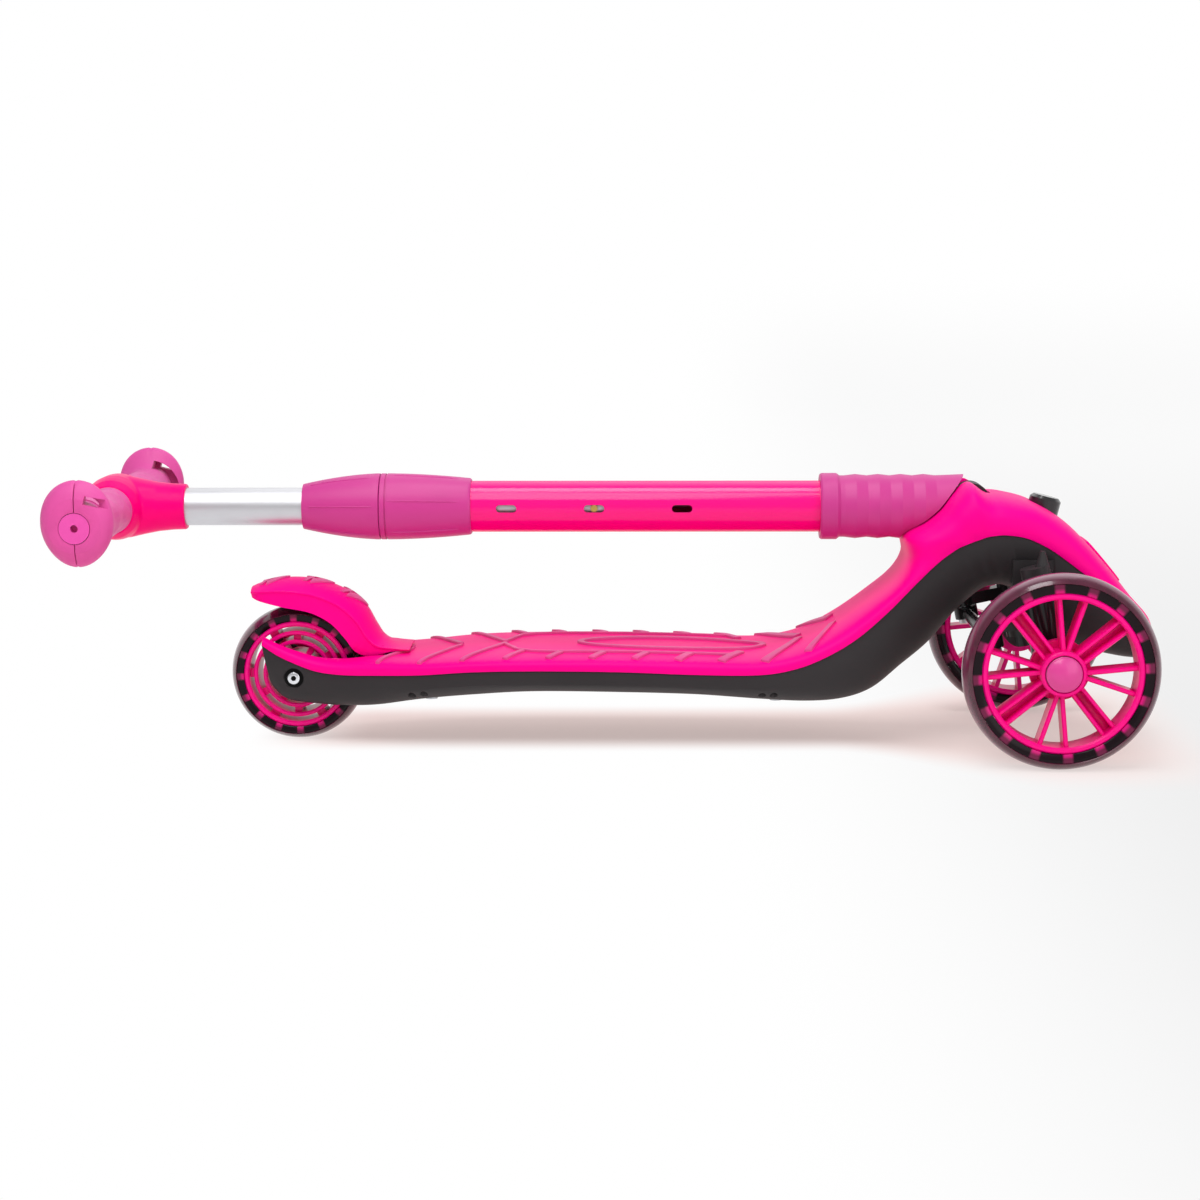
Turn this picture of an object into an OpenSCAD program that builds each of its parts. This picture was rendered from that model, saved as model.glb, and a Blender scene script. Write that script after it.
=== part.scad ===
// Folding three-wheel kick scooter, folded flat, millimetres.
// X runs from the rear wheel to the front wheels, Z is up, the floor is Z = 0.
// Local places are measured from the rear axle; place() moves them to the file's origin.

/* [Wheels] */
// Rear axle to front axles
wheelbase = 494; // [460:1:540]
// Distance between the middles of the front wheels
track = 208; // [200:1:230]
// Front wheel diameter
front_wheel_d = 125; // [110:1:130]
// Rear wheel diameter
rear_wheel_d = 90; // [84:1:94]
// Front tyre width
front_tyre_w = 24; // [20:1:26]
// Rear tyre width
rear_tyre_w = 30; // [24:1:34]
// Tyre depth outside the rim, front
front_tyre_depth = 11.5; // [9:0.5:13]
// Tyre depth outside the rim, rear
rear_tyre_depth = 9.5; // [8:0.5:11]
// Width of one spoke
spoke_w = 3; // [2:0.5:4]
// Axle bolt diameter
axle_d = 8; // [6:0.5:8]
// Ball bearing outside diameter
bearing_d = 22; // [20:0.5:24]
// Ball bearing width
bearing_w = 7; // [6:0.5:8]

/* [Deck and body] */
// Thickness of the moulded shells
skin = 3; // [2.5:0.1:3.5]
// Widest half-width of the deck
deck_half_w = 64; // [58:1:70]
// Room between the rear tyre and each side of its well
well_room = 8.5; // [8:0.5:10]
// Height of the tread ribs above the deck
rib_h = 1.6; // [1:0.1:2]
// Width of a tread rib
rib_w = 3; // [2:0.5:4]

/* [Fold joint] */
// Height of the fold pin above the front axles
fold_rise = 98.5; // [92:0.5:104]
// Fold pin diameter
fold_pin_d = 6; // [5:0.5:7]
// Radius of the hinge block's round end
drum_r = 11; // [10:0.1:12]
// Width of the hinge block between the bracket cheeks
block_w = 22; // [20:0.5:23]
// Thickness of the steel fold bracket
cheek_t = 3; // [2.5:0.1:3.2]

/* [Stem] */
// Handlebar axis to fold pin, with the height button in its middle slot
stem_l = 568; // [540:1:600]
// Drop of the folded stem's axis below the fold pin
stem_drop = 5; // [4.5:0.1:5.5]
// Lower tube outside diameter
lower_tube_d = 34; // [32:0.5:36]
// Lower tube wall
lower_tube_wall = 2; // [1.5:0.1:2.2]
// Upper tube outside diameter
upper_tube_d = 25; // [24:0.5:26]
// Upper tube wall
upper_tube_wall = 1.5; // [1.2:0.1:2]
// Distance between height slots
slot_pitch = 58; // [52:0.5:62]
// Length of a height slot
slot_l = 13.5; // [12:0.5:14]
// Width of a height slot
slot_w = 5; // [4.5:0.1:5.5]
// Thickness of the clamp over the lower tube at its widest
clamp_wall = 5; // [4.5:0.1:6]

/* [Handlebar] */
// Width of the handlebar over its grips
bar_w = 262; // [250:1:280]
// Handlebar tube diameter
bar_d = 22; // [20:0.5:22.5]
// Radius of the hand grips
grip_r = 15.5; // [14.5:0.1:16.5]
// Radius of the hole in each end plug
plug_hole_r = 2.4; // [2:0.1:3]

/* [Steering] */
// Rearward lean of the kingpins from upright
kingpin_rake = 12; // [10:0.5:14]
// Distance of a kingpin from the middle
kingpin_y = 66; // [63:0.5:70]
// Kingpin diameter
kingpin_d = 10; // [8:0.5:10]
// Length of the steering arms
arm_l = 36; // [33:0.5:38]
// Tie rod diameter
tie_rod_d = 10; // [8:0.5:11]

/* [Foot brake] */
// Gap between the brake pad and the tyre
brake_gap = 3.5; // [3.2:0.1:4]
// Gap between the fender and each side of the wheel well
fender_gap = 2; // [1.8:0.1:3]

/* [Hidden] */
$fn = 48;

// Colours of the finishes
hot_pink = "#ff0080";
mauve = "#e060b0";
charcoal = "#2c2b2d";
smoke = "#5a2046";
steel = "#c8c8cc";
brass = "#c8a850";

// Clearances: seat is a still fit, run is a turning fit, gap keeps moving shells apart
seat = 0.05;
run = 0.05;
gap = 0.4;

rear_axle_z = rear_wheel_d / 2;
front_axle_z = front_wheel_d / 2;
axle_r = axle_d / 2 - run;
bearing_r = bearing_d / 2;
well_half_w = rear_tyre_w / 2 + well_room;
fork_half_w = well_half_w + 6;
fender_half_w = well_half_w - fender_gap;

// Fold pin and stem places
fold_x = wheelbase - 46;
fold_z = front_axle_z + fold_rise;
stem_z = fold_z - stem_drop;
bar_x = fold_x - stem_l;
neck_drop = drum_r + 0.7;
mouth_relief_r = drum_r + 2.8;

// Heights in the head are drawn for this rise of the fold pin and stretch with it
drawn_rise = 98.5;
function head_z(up) = front_axle_z + up * fold_rise / drawn_rise;
// Shapes over the rear wheel are drawn for this wheel radius and move out with a larger one
drawn_wheel_r = 45;
function over_wheel(p) = [0, rear_axle_z] + p * (1 + (rear_wheel_d / 2 - drawn_wheel_r) / norm(p));

// Outline of the body, one row a section: [seam x, seam up, crown x, crown up, belly x, belly up,
// width from the fork's (0) to the deck's widest (1), squareness]
// The tail rows are measured from the rear axle and the head rows from the front axles.
tail_rows = [
    [-21, 22, -20, 27, -15, -9.5, 0, 5],
    [-11, 15.5, -10, 22, -8.5, -16.7, 0.035, 5],
    [1, 10, 2, 17.5, 1, -19, 0.072, 5],
    [16, 5, 16, 13.5, 16, -19.8, 0.128, 5],
    [34, 3.5, 34, 12.5, 34, -20, 0.258, 5],
    [56, 4.5, 56, 14.5, 56, -18.5, 0.481, 5],
    [86, 6.5, 86, 15.5, 86, -13.2, 0.777, 5],
    [120, 9.5, 120, 18, 120, -9.5, 0.944, 5],
    [160, 10.5, 160, 19, 160, -7, 1, 5],
    [215, 10, 215, 19, 215, -7.5, 1, 5],
    [265, 8, 265, 18, 265, -9, 0.963, 5]
];
head_rows = [
    [-188, -10, -190, -0.5, -186, -30, 0.907, 5],
    [-164, -6.5, -168, 2.5, -155, -32, 0.833, 4.6],
    [-144, 1, -150.5, 9, -131, -30.5, 0.759, 4.2],
    [-124, 12.5, -132.5, 20, -112, -24, 0.666, 3.8],
    [-104, 29.5, -114.5, 33, -94, -9.5, 0.592, 3.6],
    [-87, 46.5, -97.5, 47, -75.5, 6, 0.518, 3.6],
    [-72, 61, -90, 61, -59.5, 25, 0.481, 3.8],
    [-60, 70, -91, 75.5, -47, 36.5, 0.481, 4],
    [-54, 73, -78, 84.5, -42, 40.5, 0.499, 4.4],
    [-49, 75, -68, 93, -38, 42.5, 0.499, 4.8],
    [-45, 76.5, -60, 103, -34, 43.5, 0.518, 4.8],
    [-41, 78, -50, 111, -30, 44, 0.518, 4.8],
    [-36, 79, -38, 104, -26, 43.5, 0.536, 4.4],
    [-28, 79.5, -26, 102.5, -20, 40.5, 0.555, 4],
    [-15, 77.5, -7, 97.5, -12, 25.5, 0.573, 3.6],
    [-1, 71, 12, 86.5, 0, 11.5, 0.592, 3.4],
    [12, 62, 27, 72.5, 14, 4.5, 0.61, 3.4],
    [27, 50.5, 43, 54.3, 29, 1, 0.61, 3.4],
    [42, 37, 56.5, 37.3, 43, -2, 0.573, 3.4],
    [54, 22.5, 68.5, 23.5, 53, -3.7, 0.499, 3.4],
    [61, 7.5, 72.5, 11.5, 60, -4, 0.406, 3.4]
];
body_rows = concat(
    [for (r = tail_rows) r + [0, rear_axle_z, 0, rear_axle_z, 0, rear_axle_z, 0, 0]],
    [for (r = head_rows) [wheelbase + r[0], head_z(r[1]), wheelbase + r[2], head_z(r[3]),
        wheelbase + r[4], head_z(r[5]), r[6], r[7]]]
);
nose_x = wheelbase + head_rows[len(head_rows) - 1][2];
grip_half_l = 22.8;
barrel_top = 42;
frame_x = -(nose_x + bar_x - grip_half_l) / 2;

// Shared moves -------------------------------------------------------------

// From the rear axle's plumb line to the file's origin, midway along the scooter
module place() {
    translate([frame_x, 0, 0]) children();
}

// Local +Z runs forward along the folded stem from the point x
module on_stem(x) {
    translate([x, 0, stem_z]) rotate([0, 90, 0]) children();
}

// Local +Z runs to the scooter's left, at the point x, z
module across(x, z) {
    translate([x, 0, z]) rotate([-90, 0, 0]) children();
}

// The frame of one kingpin: side is -1 on the right and 1 on the left, local +Z runs up it
module on_kingpin(side) {
    translate([wheelbase, side * kingpin_y, front_axle_z]) rotate([0, -kingpin_rake, 0]) children();
}

// The frame of the lock button: local +Z runs out of the head
module on_lock() {
    translate([fold_x + 48, 0, fold_z - 6]) rotate([0, 14, 0]) children();
}

// A front wheel's frame: local +Z runs outward
module on_front_wheel(side) {
    translate([wheelbase, side * track / 2, front_axle_z]) rotate([-90 * side, 0, 0]) children();
}

// A flat plate in the XZ plane between two distances from the middle
module side_plate(points, from_y, to_y) {
    translate([0, to_y, 0]) rotate([90, 0, 0]) linear_extrude(to_y - from_y) polygon(points);
}

// Shared shapes ------------------------------------------------------------

// A point of the smooth curve through rows a, b, c, d, between b and c
function curve(a, b, c, d, t) =
    0.5 * (2 * b + (c - a) * t + (2 * a - 5 * b + 4 * c - d) * t * t + (3 * b - a - 3 * c + d) * t * t * t);
function smooth(rows, steps) = let (n = len(rows) - 1) concat(
    [for (i = [0 : n - 1]) for (k = [0 : steps - 1])
        curve(rows[max(i - 1, 0)], rows[i], rows[i + 1], rows[min(i + 2, n)], k / steps)],
    [rows[n]]
);
function bulge(v, n) = sign(v) * pow(abs(v), 2 / n);
// Half a rounded rectangle of half-width w and height h, from the right edge to the left
function arch(w, h, n, count) =
    [for (j = [0 : count]) let (a = 180 * j / count) [-w * bulge(cos(a), n), h * bulge(sin(a), n)]];
function reverse(list) = [for (i = [len(list) - 1 : -1 : 0]) list[i]];
// Stands a [across, up] outline on the line from one point to another in the XZ plane
function stand(outline, from, to) = let (up = (to - from) / norm(to - from))
    [for (p = outline) [from[0] + up[0] * p[1], p[0], from[1] + up[1] * p[1]]];

// Joins equal rings of points into one closed solid. The first half of a wall's ring is its
// outer line and the second half comes back along the inner line.
module loft(rings, wall = false) {
    count = len(rings[0]);
    last = len(rings) - 1;
    sides = [for (i = [0 : last - 1]) for (j = [0 : count - 1])
        let (k = (j + 1) % count, a = i * count, b = (i + 1) * count)
        for (face = [[a + j, a + k, b + k], [a + j, b + k, b + j]]) face];
    start = wall
        ? [for (j = [0 : count / 2 - 2]) for (face = [[j, count - 1 - j, j + 1],
            [j + 1, count - 1 - j, count - 2 - j]]) face]
        : [for (j = [1 : count - 2]) [0, j + 1, j]];
    end = [for (face = start) [for (k = [2 : -1 : 0]) face[k] + last * count]];
    polyhedron([for (ring = rings) for (p = ring) p], concat(start, sides, end), convexity = 8);
}

// A coil spring of round wire along +Z
module coil(coil_r, wire_r, turns, length) {
    per_turn = 16;
    steps = turns * per_turn;
    rings = [for (i = [0 : steps])
        let (a = 360 * i / per_turn, z = wire_r + (length - 2 * wire_r) * i / steps)
        [for (j = [0 : 7]) let (b = 45 * j)
            [(coil_r + wire_r * cos(b)) * cos(a), (coil_r + wire_r * cos(b)) * sin(a), z + wire_r * sin(b)]]];
    loft(rings);
}

module tube(outer_r, inner_r, length) {
    difference() {
        cylinder(r = outer_r, h = length);
        translate([0, 0, -1]) cylinder(r = inner_r, h = length + 2);
    }
}

// A socket-head screw: the head's top is at z = 0 and the shank runs down
module screw(shank_r, length, head_r, head_h) {
    difference() {
        translate([0, 0, -head_h]) cylinder(r = head_r, h = head_h);
        translate([0, 0, -head_h * 0.6]) cylinder(r = shank_r * 0.7, h = head_h, $fn = 6);
    }
    translate([0, 0, -head_h - length]) cylinder(r = shank_r, h = length + 0.01);
}

// Deck and body --------------------------------------------------------------

body_steps = 2;
arch_points = 14;
stations = smooth(body_rows, body_steps);
well_front_x = rear_wheel_d / 2 + 17;
lip_inset = 0.6;
function seam_at(s) = [s[0], s[1]];
function crown_at(s) = [s[2], s[3]];
function belly_at(s) = [s[4], s[5]];
function half_w(s) = fork_half_w + s[6] * (deck_half_w - fork_half_w);

// The pink top: an arch from seam to seam, hollow from below
function top_ring(s) = let (h = norm(crown_at(s) - seam_at(s)), w = half_w(s)) concat(
    stand(arch(w, h, s[7], arch_points), seam_at(s), crown_at(s)),
    reverse(stand(arch(w - skin, h - skin, s[7], arch_points), seam_at(s), crown_at(s)))
);
// The charcoal underside, solid, and the hollow that is taken out of it
function tray_ring(s) = let (h = norm(belly_at(s) - seam_at(s)), w = half_w(s) - lip_inset)
    reverse(stand([for (p = arch(w, h - 0.3, 5, arch_points)) [p[0] * (1 - 0.08 * p[1] / h), p[1] + 0.3]],
        seam_at(s), belly_at(s)));
function hollow_ring(s) = let (h = norm(belly_at(s) - seam_at(s)), w = half_w(s) - lip_inset - skin)
    reverse(stand(concat([[-w, -6]], [for (p = arch(w, h - skin, 5, arch_points))
        [p[0] * (1 - 0.08 * p[1] / h), p[1]]], [[w, -6]]), seam_at(s), belly_at(s)));

// Room for the rear wheel and the fender, open to the rear
module wheel_well() {
    behind = 2 * rear_wheel_d;
    translate([-behind, -well_half_w, 0])
        cube([behind + well_front_x, 2 * well_half_w, rear_axle_z + rear_wheel_d]);
}

// Screw posts: each stands on the floor's pad and runs up to the deck
shell_screw_x = [well_front_x + 30, 170, 250, wheelbase - 176];
shell_screw_y = deck_half_w - 26;
shell_screw_r = 2;
shell_head_r = 4;
post_r = 5;
head_seat = 3.2;
pad_top = 5.6;
shell_screw_l = 10;
function floor_z(x) = lookup(x, [for (s = stations) belly_at(s)]);
function deck_z(x) = lookup(x, [for (s = stations) crown_at(s)]);
module at_shell_screws() {
    for (x = shell_screw_x) for (side = [-1, 1])
        translate([x, side * shell_screw_y, floor_z(x)]) children();
}

module deck_shell() {
    color(hot_pink) place() difference() {
        union() {
            loft([for (s = stations) top_ring(s)], wall = true);
            for (x = shell_screw_x) for (side = [-1, 1])
                translate([x, side * shell_screw_y, floor_z(x) + pad_top + 0.1])
                    cylinder(r = post_r, h = deck_z(x) - floor_z(x) - pad_top - skin / 2);
        }
        at_shell_screws() cylinder(r = shell_screw_r + seat, h = head_seat + shell_screw_l + 0.5);
        wheel_well();
        // Slot for the hinge block
        translate([fold_x - 48, -block_w / 2 - 0.6, fold_z - neck_drop])
            cube([48 + drum_r + 0.7, block_w + 1.2, 40]);
        on_lock() translate([0, 0, -16]) cylinder(r = lock_r + gap, h = 40);
    }
}

module under_shell() {
    color(charcoal) place() difference() {
        union() {
            difference() {
                loft([for (s = stations) tray_ring(s)]);
                loft([for (s = stations) if (s[0] > well_front_x + 6 && s[0] < wheelbase + 56) hollow_ring(s)]);
            }
            at_shell_screws() translate([0, 0, 1.5]) cylinder(r = post_r + 2, h = pad_top - 1.5);
        }
        at_shell_screws() {
            translate([0, 0, -5]) cylinder(r = shell_head_r + 0.4, h = head_seat + 5);
            cylinder(r = shell_screw_r + 0.3, h = 10);
        }
        wheel_well();
        // Windows for the kingpin beam
        translate([beam_x - beam_l / 2 - seat, -100, beam_z - seat])
            cube([beam_l + 2 * seat, 200, beam_h + 2 * seat]);
        for (side = [-1, 1]) {
            across(0, rear_axle_z) translate([0, 0, side > 0 ? 0 : -50]) cylinder(r = axle_d / 2, h = 50);
            translate([0, side * (cheek_face + 25), rear_axle_z]) rotate([90, 0, 0])
                cylinder(r = 7, h = 50, center = true);
            across(fender_pin_x, fender_pin_z) translate([0, 0, side > 0 ? 0 : -fork_half_w - 1])
                cylinder(r = fender_pin_r + seat, h = fork_half_w + 1);
        }
    }
}

// Raised ribs that follow the deck: slanted bars from both edges, long at the ends and joined
// by a rail between them, and a plain oval in the middle
rib_first_x = 78;
rib_reach = [36, 36, 30, 13, 13, 13, 13, 13, 13, 38];
rib_count = len(rib_reach);
rib_pitch = (wheelbase - 168.5 - rib_first_x) / (rib_count - 1);
rib_edge_y = deck_half_w - 15;
rail_from = 3;
rail_to = 8;
oval_x = rib_first_x + 128;
oval_rx = 42;
oval_ry = 22;
oval_thick = 4;
function rib_x(i) = rib_first_x + i * rib_pitch;
function oval(rx, ry) = [for (i = [0 : 31]) let (a = 360 * i / 32) [oval_x + rx * cos(a), ry * sin(a)]];
function deck_cap(s, lift) = let (h = norm(crown_at(s) - seam_at(s)))
    stand(arch(half_w(s), h + lift, s[7], arch_points), seam_at(s), crown_at(s));
module rib_outline(i, side) {
    cut = rib_w * 1.4;
    edge = rib_edge_y - (i == 0 || i == rib_count - 1 ? 5 : 0);
    reach = rib_reach[i];
    polygon([[rib_x(i), side * edge], [rib_x(i) + cut, side * edge],
        [rib_x(i) + reach + cut, side * (edge - reach)], [rib_x(i) + reach, side * (edge - reach)]]);
}
module tread_ribs() {
    deck_stations = [for (s = stations) if (s[0] > 60 && s[0] < wheelbase - 85) s];
    rail_y = rib_edge_y - rib_reach[rail_from] + rib_w / 2;
    rail_x = rib_x(rail_from) + rib_reach[rail_from];
    color(mauve) place() difference() {
        intersection() {
            translate([0, 0, rear_axle_z]) linear_extrude(fold_z - rear_axle_z) {
                for (side = [-1, 1]) {
                    for (i = [0 : rib_count - 1]) rib_outline(i, side);
                    translate([rail_x, side * rail_y - rib_w / 2])
                        square([(rail_to - rail_from) * rib_pitch, rib_w * 0.8]);
                }
                difference() {
                    polygon(oval(oval_rx, oval_ry));
                    polygon(oval(oval_rx - oval_thick, oval_ry - oval_thick));
                }
            }
            loft([for (s = deck_stations) deck_cap(s, rib_h)]);
        }
        loft([for (s = deck_stations) deck_cap(s, seat)]);
    }
}

// A shallow cover on the front of the nose
panel_h = 1.6;
module nose_panel() {
    nose_stations = [for (s = stations) if (s[0] > wheelbase - 20) s];
    color(hot_pink) place() difference() {
        intersection() {
            loft([for (s = nose_stations) deck_cap(s, panel_h)]);
            translate([wheelbase + 40, 0, head_z(58.5)]) rotate([0, 47, 0]) cube([34, 36, 24], center = true);
        }
        loft([for (s = nose_stations) deck_cap(s, seat)]);
    }
}

module shell_screws() {
    head_h = 2.5;
    color(steel) place() at_shell_screws() translate([0, 0, head_seat - head_h])
        rotate([180, 0, 0]) screw(shell_screw_r, shell_screw_l, shell_head_r, head_h);
}

// Front beam, fold bracket and kingpins ---------------------------------------

boss_low = 48.5;
boss_r = 9;
boss_l = 14;
kingpin_r = kingpin_d / 2;
kingpin_reach = boss_low + boss_l - 2;
beam_x = wheelbase - 53 * sin(kingpin_rake);
beam_l = 26;
beam_z = front_axle_z + 47.5;
beam_h = 16;
// Half the length of the beam's square part, which ends just outside the body
beam_half = 51;
// Across the beam's outer ends, and the pointed housings that close over the kingpins
arm_w = 15;
housing_h = 24;
housing_tip_r = 1.5;
module kingpin_beam() {
    color(charcoal) place() difference() {
        union() {
            translate([beam_x - beam_l / 2, -beam_half, beam_z]) cube([beam_l, 2 * beam_half, beam_h]);
            translate([beam_x - arm_w / 2 + 3, -kingpin_y, beam_z]) cube([arm_w, 2 * kingpin_y, beam_h - 5]);
            for (side = [-1, 1]) {
                on_kingpin(side) translate([0, 0, boss_low]) cylinder(r = boss_r, h = boss_l);
                translate([beam_x + 3.5, side * kingpin_y, beam_z])
                    cylinder(r1 = boss_r, r2 = housing_tip_r, h = housing_h);
            }
        }
        for (side = [-1, 1]) on_kingpin(side) {
            translate([0, 0, boss_low - 10]) cylinder(r = kingpin_r, h = kingpin_reach - boss_low + 10.3);
            // Flat face for the spring
            translate([0, 0, boss_low - 20]) cylinder(r = boss_r + 1.5, h = 20);
        }
        for (x = screw_rows) for (side = [-1, 1])
            translate([x, side * screw_y, beam_z + 3]) cylinder(r = bracket_screw_r, h = beam_h);
    }
}

cheek_in = block_w / 2 + 0.6;
screw_rows = [beam_x - 8, beam_x + 8];
screw_y = cheek_in + cheek_t + 4.9;
bracket_screw_r = 2.5;
bracket_head_r = 4.5;
base_z = beam_z + beam_h + 0.1;
base_x = wheelbase - 54;
base_l = 60;
base_t = 3;
shelf_low = -14.5;
module cheek(from_y) {
    difference() {
        union() {
            side_plate([[base_x, base_z], [base_x + base_l, base_z], [fold_x + 55, fold_z - 25],
                [fold_x + 55, fold_z - 19], [fold_x + 40, fold_z - 12], [fold_x + 22, fold_z - 4],
                [fold_x + 5, fold_z + 2], [fold_x - 5.5, fold_z + 1]], from_y, from_y + cheek_t);
            translate([fold_x, from_y, fold_z]) rotate([-90, 0, 0])
                cylinder(r = fold_pin_d / 2 + 3, h = cheek_t);
        }
        translate([fold_x, from_y - 1, fold_z]) rotate([-90, 0, 0])
            cylinder(r = fold_pin_d / 2 + seat, h = cheek_t + 2);
    }
}
module fold_bracket() {
    color(steel) place() {
        difference() {
            translate([base_x, -screw_y - 6, base_z]) cube([base_l, 2 * (screw_y + 6), base_t]);
            for (x = screw_rows) for (side = [-1, 1])
                translate([x, side * screw_y, base_z - 1]) cylinder(r = bracket_screw_r + seat, h = base_t + 2);
            // Room for the lock's plunger and tongue
            translate([fold_x + 26, -5, base_z - 1]) cube([24, 10, base_t + 2]);
        }
        cheek(cheek_in);
        cheek(-cheek_in - cheek_t);
        difference() {
            on_lock() translate([-9, -cheek_in - 1, shelf_low]) cube([18, 2 * cheek_in + 2, 2]);
            on_lock() translate([0, 0, shelf_low - 1]) cylinder(r = plunger_r + gap, h = 4);
        }
    }
}

module bracket_screws() {
    head_h = 3;
    color(steel) place() for (x = screw_rows) for (side = [-1, 1])
        translate([x, side * screw_y, base_z + base_t + head_h])
            screw(bracket_screw_r - seat, 14, bracket_head_r, head_h);
}

pin_half_l = cheek_in + cheek_t + 0.1;
module fold_pin() {
    color(steel) place() translate([fold_x, 0, fold_z]) rotate([90, 0, 0]) {
        cylinder(r = fold_pin_d / 2, h = 2 * pin_half_l + 1, center = true);
        translate([0, 0, pin_half_l]) cylinder(r = 5, h = 2.5);
        difference() {
            translate([0, 0, -pin_half_l - 4]) cylinder(r = 5.4, h = 4, $fn = 6);
            translate([0, 0, -pin_half_l - 5]) cylinder(r = 1.5, h = 3);
        }
    }
}

kingpin_head_r = 8;
module kingpins() {
    color(steel) place() for (side = [-1, 1]) on_kingpin(side) {
        translate([0, 0, -2]) cylinder(r = kingpin_head_r, h = 4);
        cylinder(r = kingpin_r - seat, h = kingpin_reach);
    }
}

spring_low = barrel_top + 0.4;
module steering_springs() {
    color(steel) place() for (side = [-1, 1]) on_kingpin(side) translate([0, 0, spring_low])
        coil(8.5, 0.9, 2.5, boss_low - 0.2 - spring_low);
}

// Lock button -----------------------------------------------------------------

lock_r = 10.5;
plunger_r = 3.5;
module lock_spring() {
    color(steel) place() on_lock() translate([0, 0, shelf_low + 2.1]) coil(5.6, 0.7, 4, 8);
}
module lock_button() {
    color(charcoal) place() {
        on_lock() {
            translate([0, 0, -4]) cylinder(r = lock_r, h = 10);
            translate([0, 0, 6]) cylinder(r1 = lock_r, r2 = lock_r - 2, h = 2);
            translate([0, 0, -20]) cylinder(r = plunger_r, h = 17);
        }
        side_plate([[fold_x + 1, fold_z - drum_r - 5], [fold_x + 1, fold_z - drum_r - 1],
            [fold_x + 8, fold_z - drum_r - 1], [fold_x + 34, fold_z - 22.4], [fold_x + 44, fold_z - 22.4],
            [fold_x + 44, fold_z - 26.4], [fold_x + 32, fold_z - 26.4]], -4, 4);
    }
}

// Rear axle and foot brake ----------------------------------------------------

cheek_face = fork_half_w - 1;
axle_screw_r = 2.5;
rear_bearing_out = 12;
spacer_r = axle_d / 2 + 2;
module rear_axle() {
    color(steel) place() across(0, rear_axle_z) difference() {
        cylinder(r = axle_r, h = 2 * cheek_face - 0.2, center = true);
        cylinder(r = axle_screw_r, h = 2 * fork_half_w, center = true);
    }
}
module rear_axle_screws() {
    head_h = 2.2;
    color(steel) place() for (side = [-1, 1]) translate([0, side * cheek_face, rear_axle_z])
        rotate([-90 * side, 0, 0]) translate([0, 0, head_h + 0.1]) screw(axle_screw_r - seat, 12, 4.2, head_h);
}
module rear_spacers() {
    outer_l = well_half_w - rear_bearing_out - 0.2;
    inner_l = 2 * (rear_bearing_out - bearing_w) - 0.2;
    color(steel) place() across(0, rear_axle_z) {
        for (z = [rear_bearing_out + 0.1, -well_half_w + 0.1]) translate([0, 0, z])
            tube(spacer_r, axle_d / 2, outer_l);
        translate([0, 0, -inner_l / 2]) tube(spacer_r, axle_d / 2, inner_l);
    }
}

fender_pin_x = rear_wheel_d / 2 + 9;
fender_pin_z = rear_axle_z + 6;
fender_pin_r = 2.5;
lug_out = fender_half_w - 3;
lug_in = lug_out - 4;
lug_r = 5.5;
module fender_pin() {
    color(steel) place() across(fender_pin_x, fender_pin_z)
        cylinder(r = fender_pin_r, h = 2 * fork_half_w, center = true);
}
module fender_spring() {
    half_l = lug_in - 2.5;
    color(steel) place() across(fender_pin_x, fender_pin_z) translate([0, 0, -half_l])
        coil(4.2, 0.8, 8, 2 * half_l);
}

// From the rear axle: [top x, top up, low x, low up, share of the fender's half-width]
fender_rows = [
    [-30.5, 57.5, -29, 51.5, 0.62],
    [-23, 60.3, -23, 49.5, 0.86],
    [-5, 63.6, -8, 46, 0.98],
    [14, 62, 10, 42.5, 1],
    [33, 55, 23.5, 35.5, 1],
    [45.5, 45, 33, 25.5, 1],
    [52.5, 33, 40, 16.5, 1],
    [58, 24.5, 50, 13.5, 1],
    [66, 19.6, 65, 16.6, 1],
    [76, 18.2, 76, 16.9, 0.96]
];
fender_skin = 2.8;
fender_stations = smooth([for (r = fender_rows)
    concat(over_wheel([r[0], r[1]]), over_wheel([r[2], r[3]]), [r[4]])], 2);
// A solid slice of the fender, drawn in from its sides and lifted above its crown
function fender_cap(s, inset, lift) = let (from = [s[2], s[3]], to = [s[0], s[1]],
    w = s[4] * fender_half_w) stand(arch(w - inset, norm(to - from) + lift, 3.2, 12), from, to);
function fender_ring(s) = let (from = [s[2], s[3]], to = [s[0], s[1]], h = norm(to - from),
    w = s[4] * fender_half_w, t = min(fender_skin, h * 0.6)) concat(
    stand(arch(w, h, 3.2, 12), from, to), reverse(stand(arch(w - t, h - t, 3.2, 12), from, to)));
module fender() {
    color(hot_pink) place() difference() {
        union() {
            loft([for (s = fender_stations) fender_ring(s)], wall = true);
            for (side = [-1, 1]) translate([0, side * (lug_in + lug_out) / 2, 0]) {
                across(fender_pin_x, fender_pin_z) cylinder(r = lug_r, h = lug_out - lug_in, center = true);
                side_plate([[fender_pin_x - 5, fender_pin_z], [fender_pin_x + 5, fender_pin_z],
                    [fender_pin_x + 5, fender_pin_z + 14], [fender_pin_x - 2, fender_pin_z + 16]],
                    -(lug_out - lug_in) / 2, (lug_out - lug_in) / 2);
            }
        }
        across(fender_pin_x, fender_pin_z)
            cylinder(r = fender_pin_r + run, h = 2 * fork_half_w, center = true);
    }
}
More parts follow.
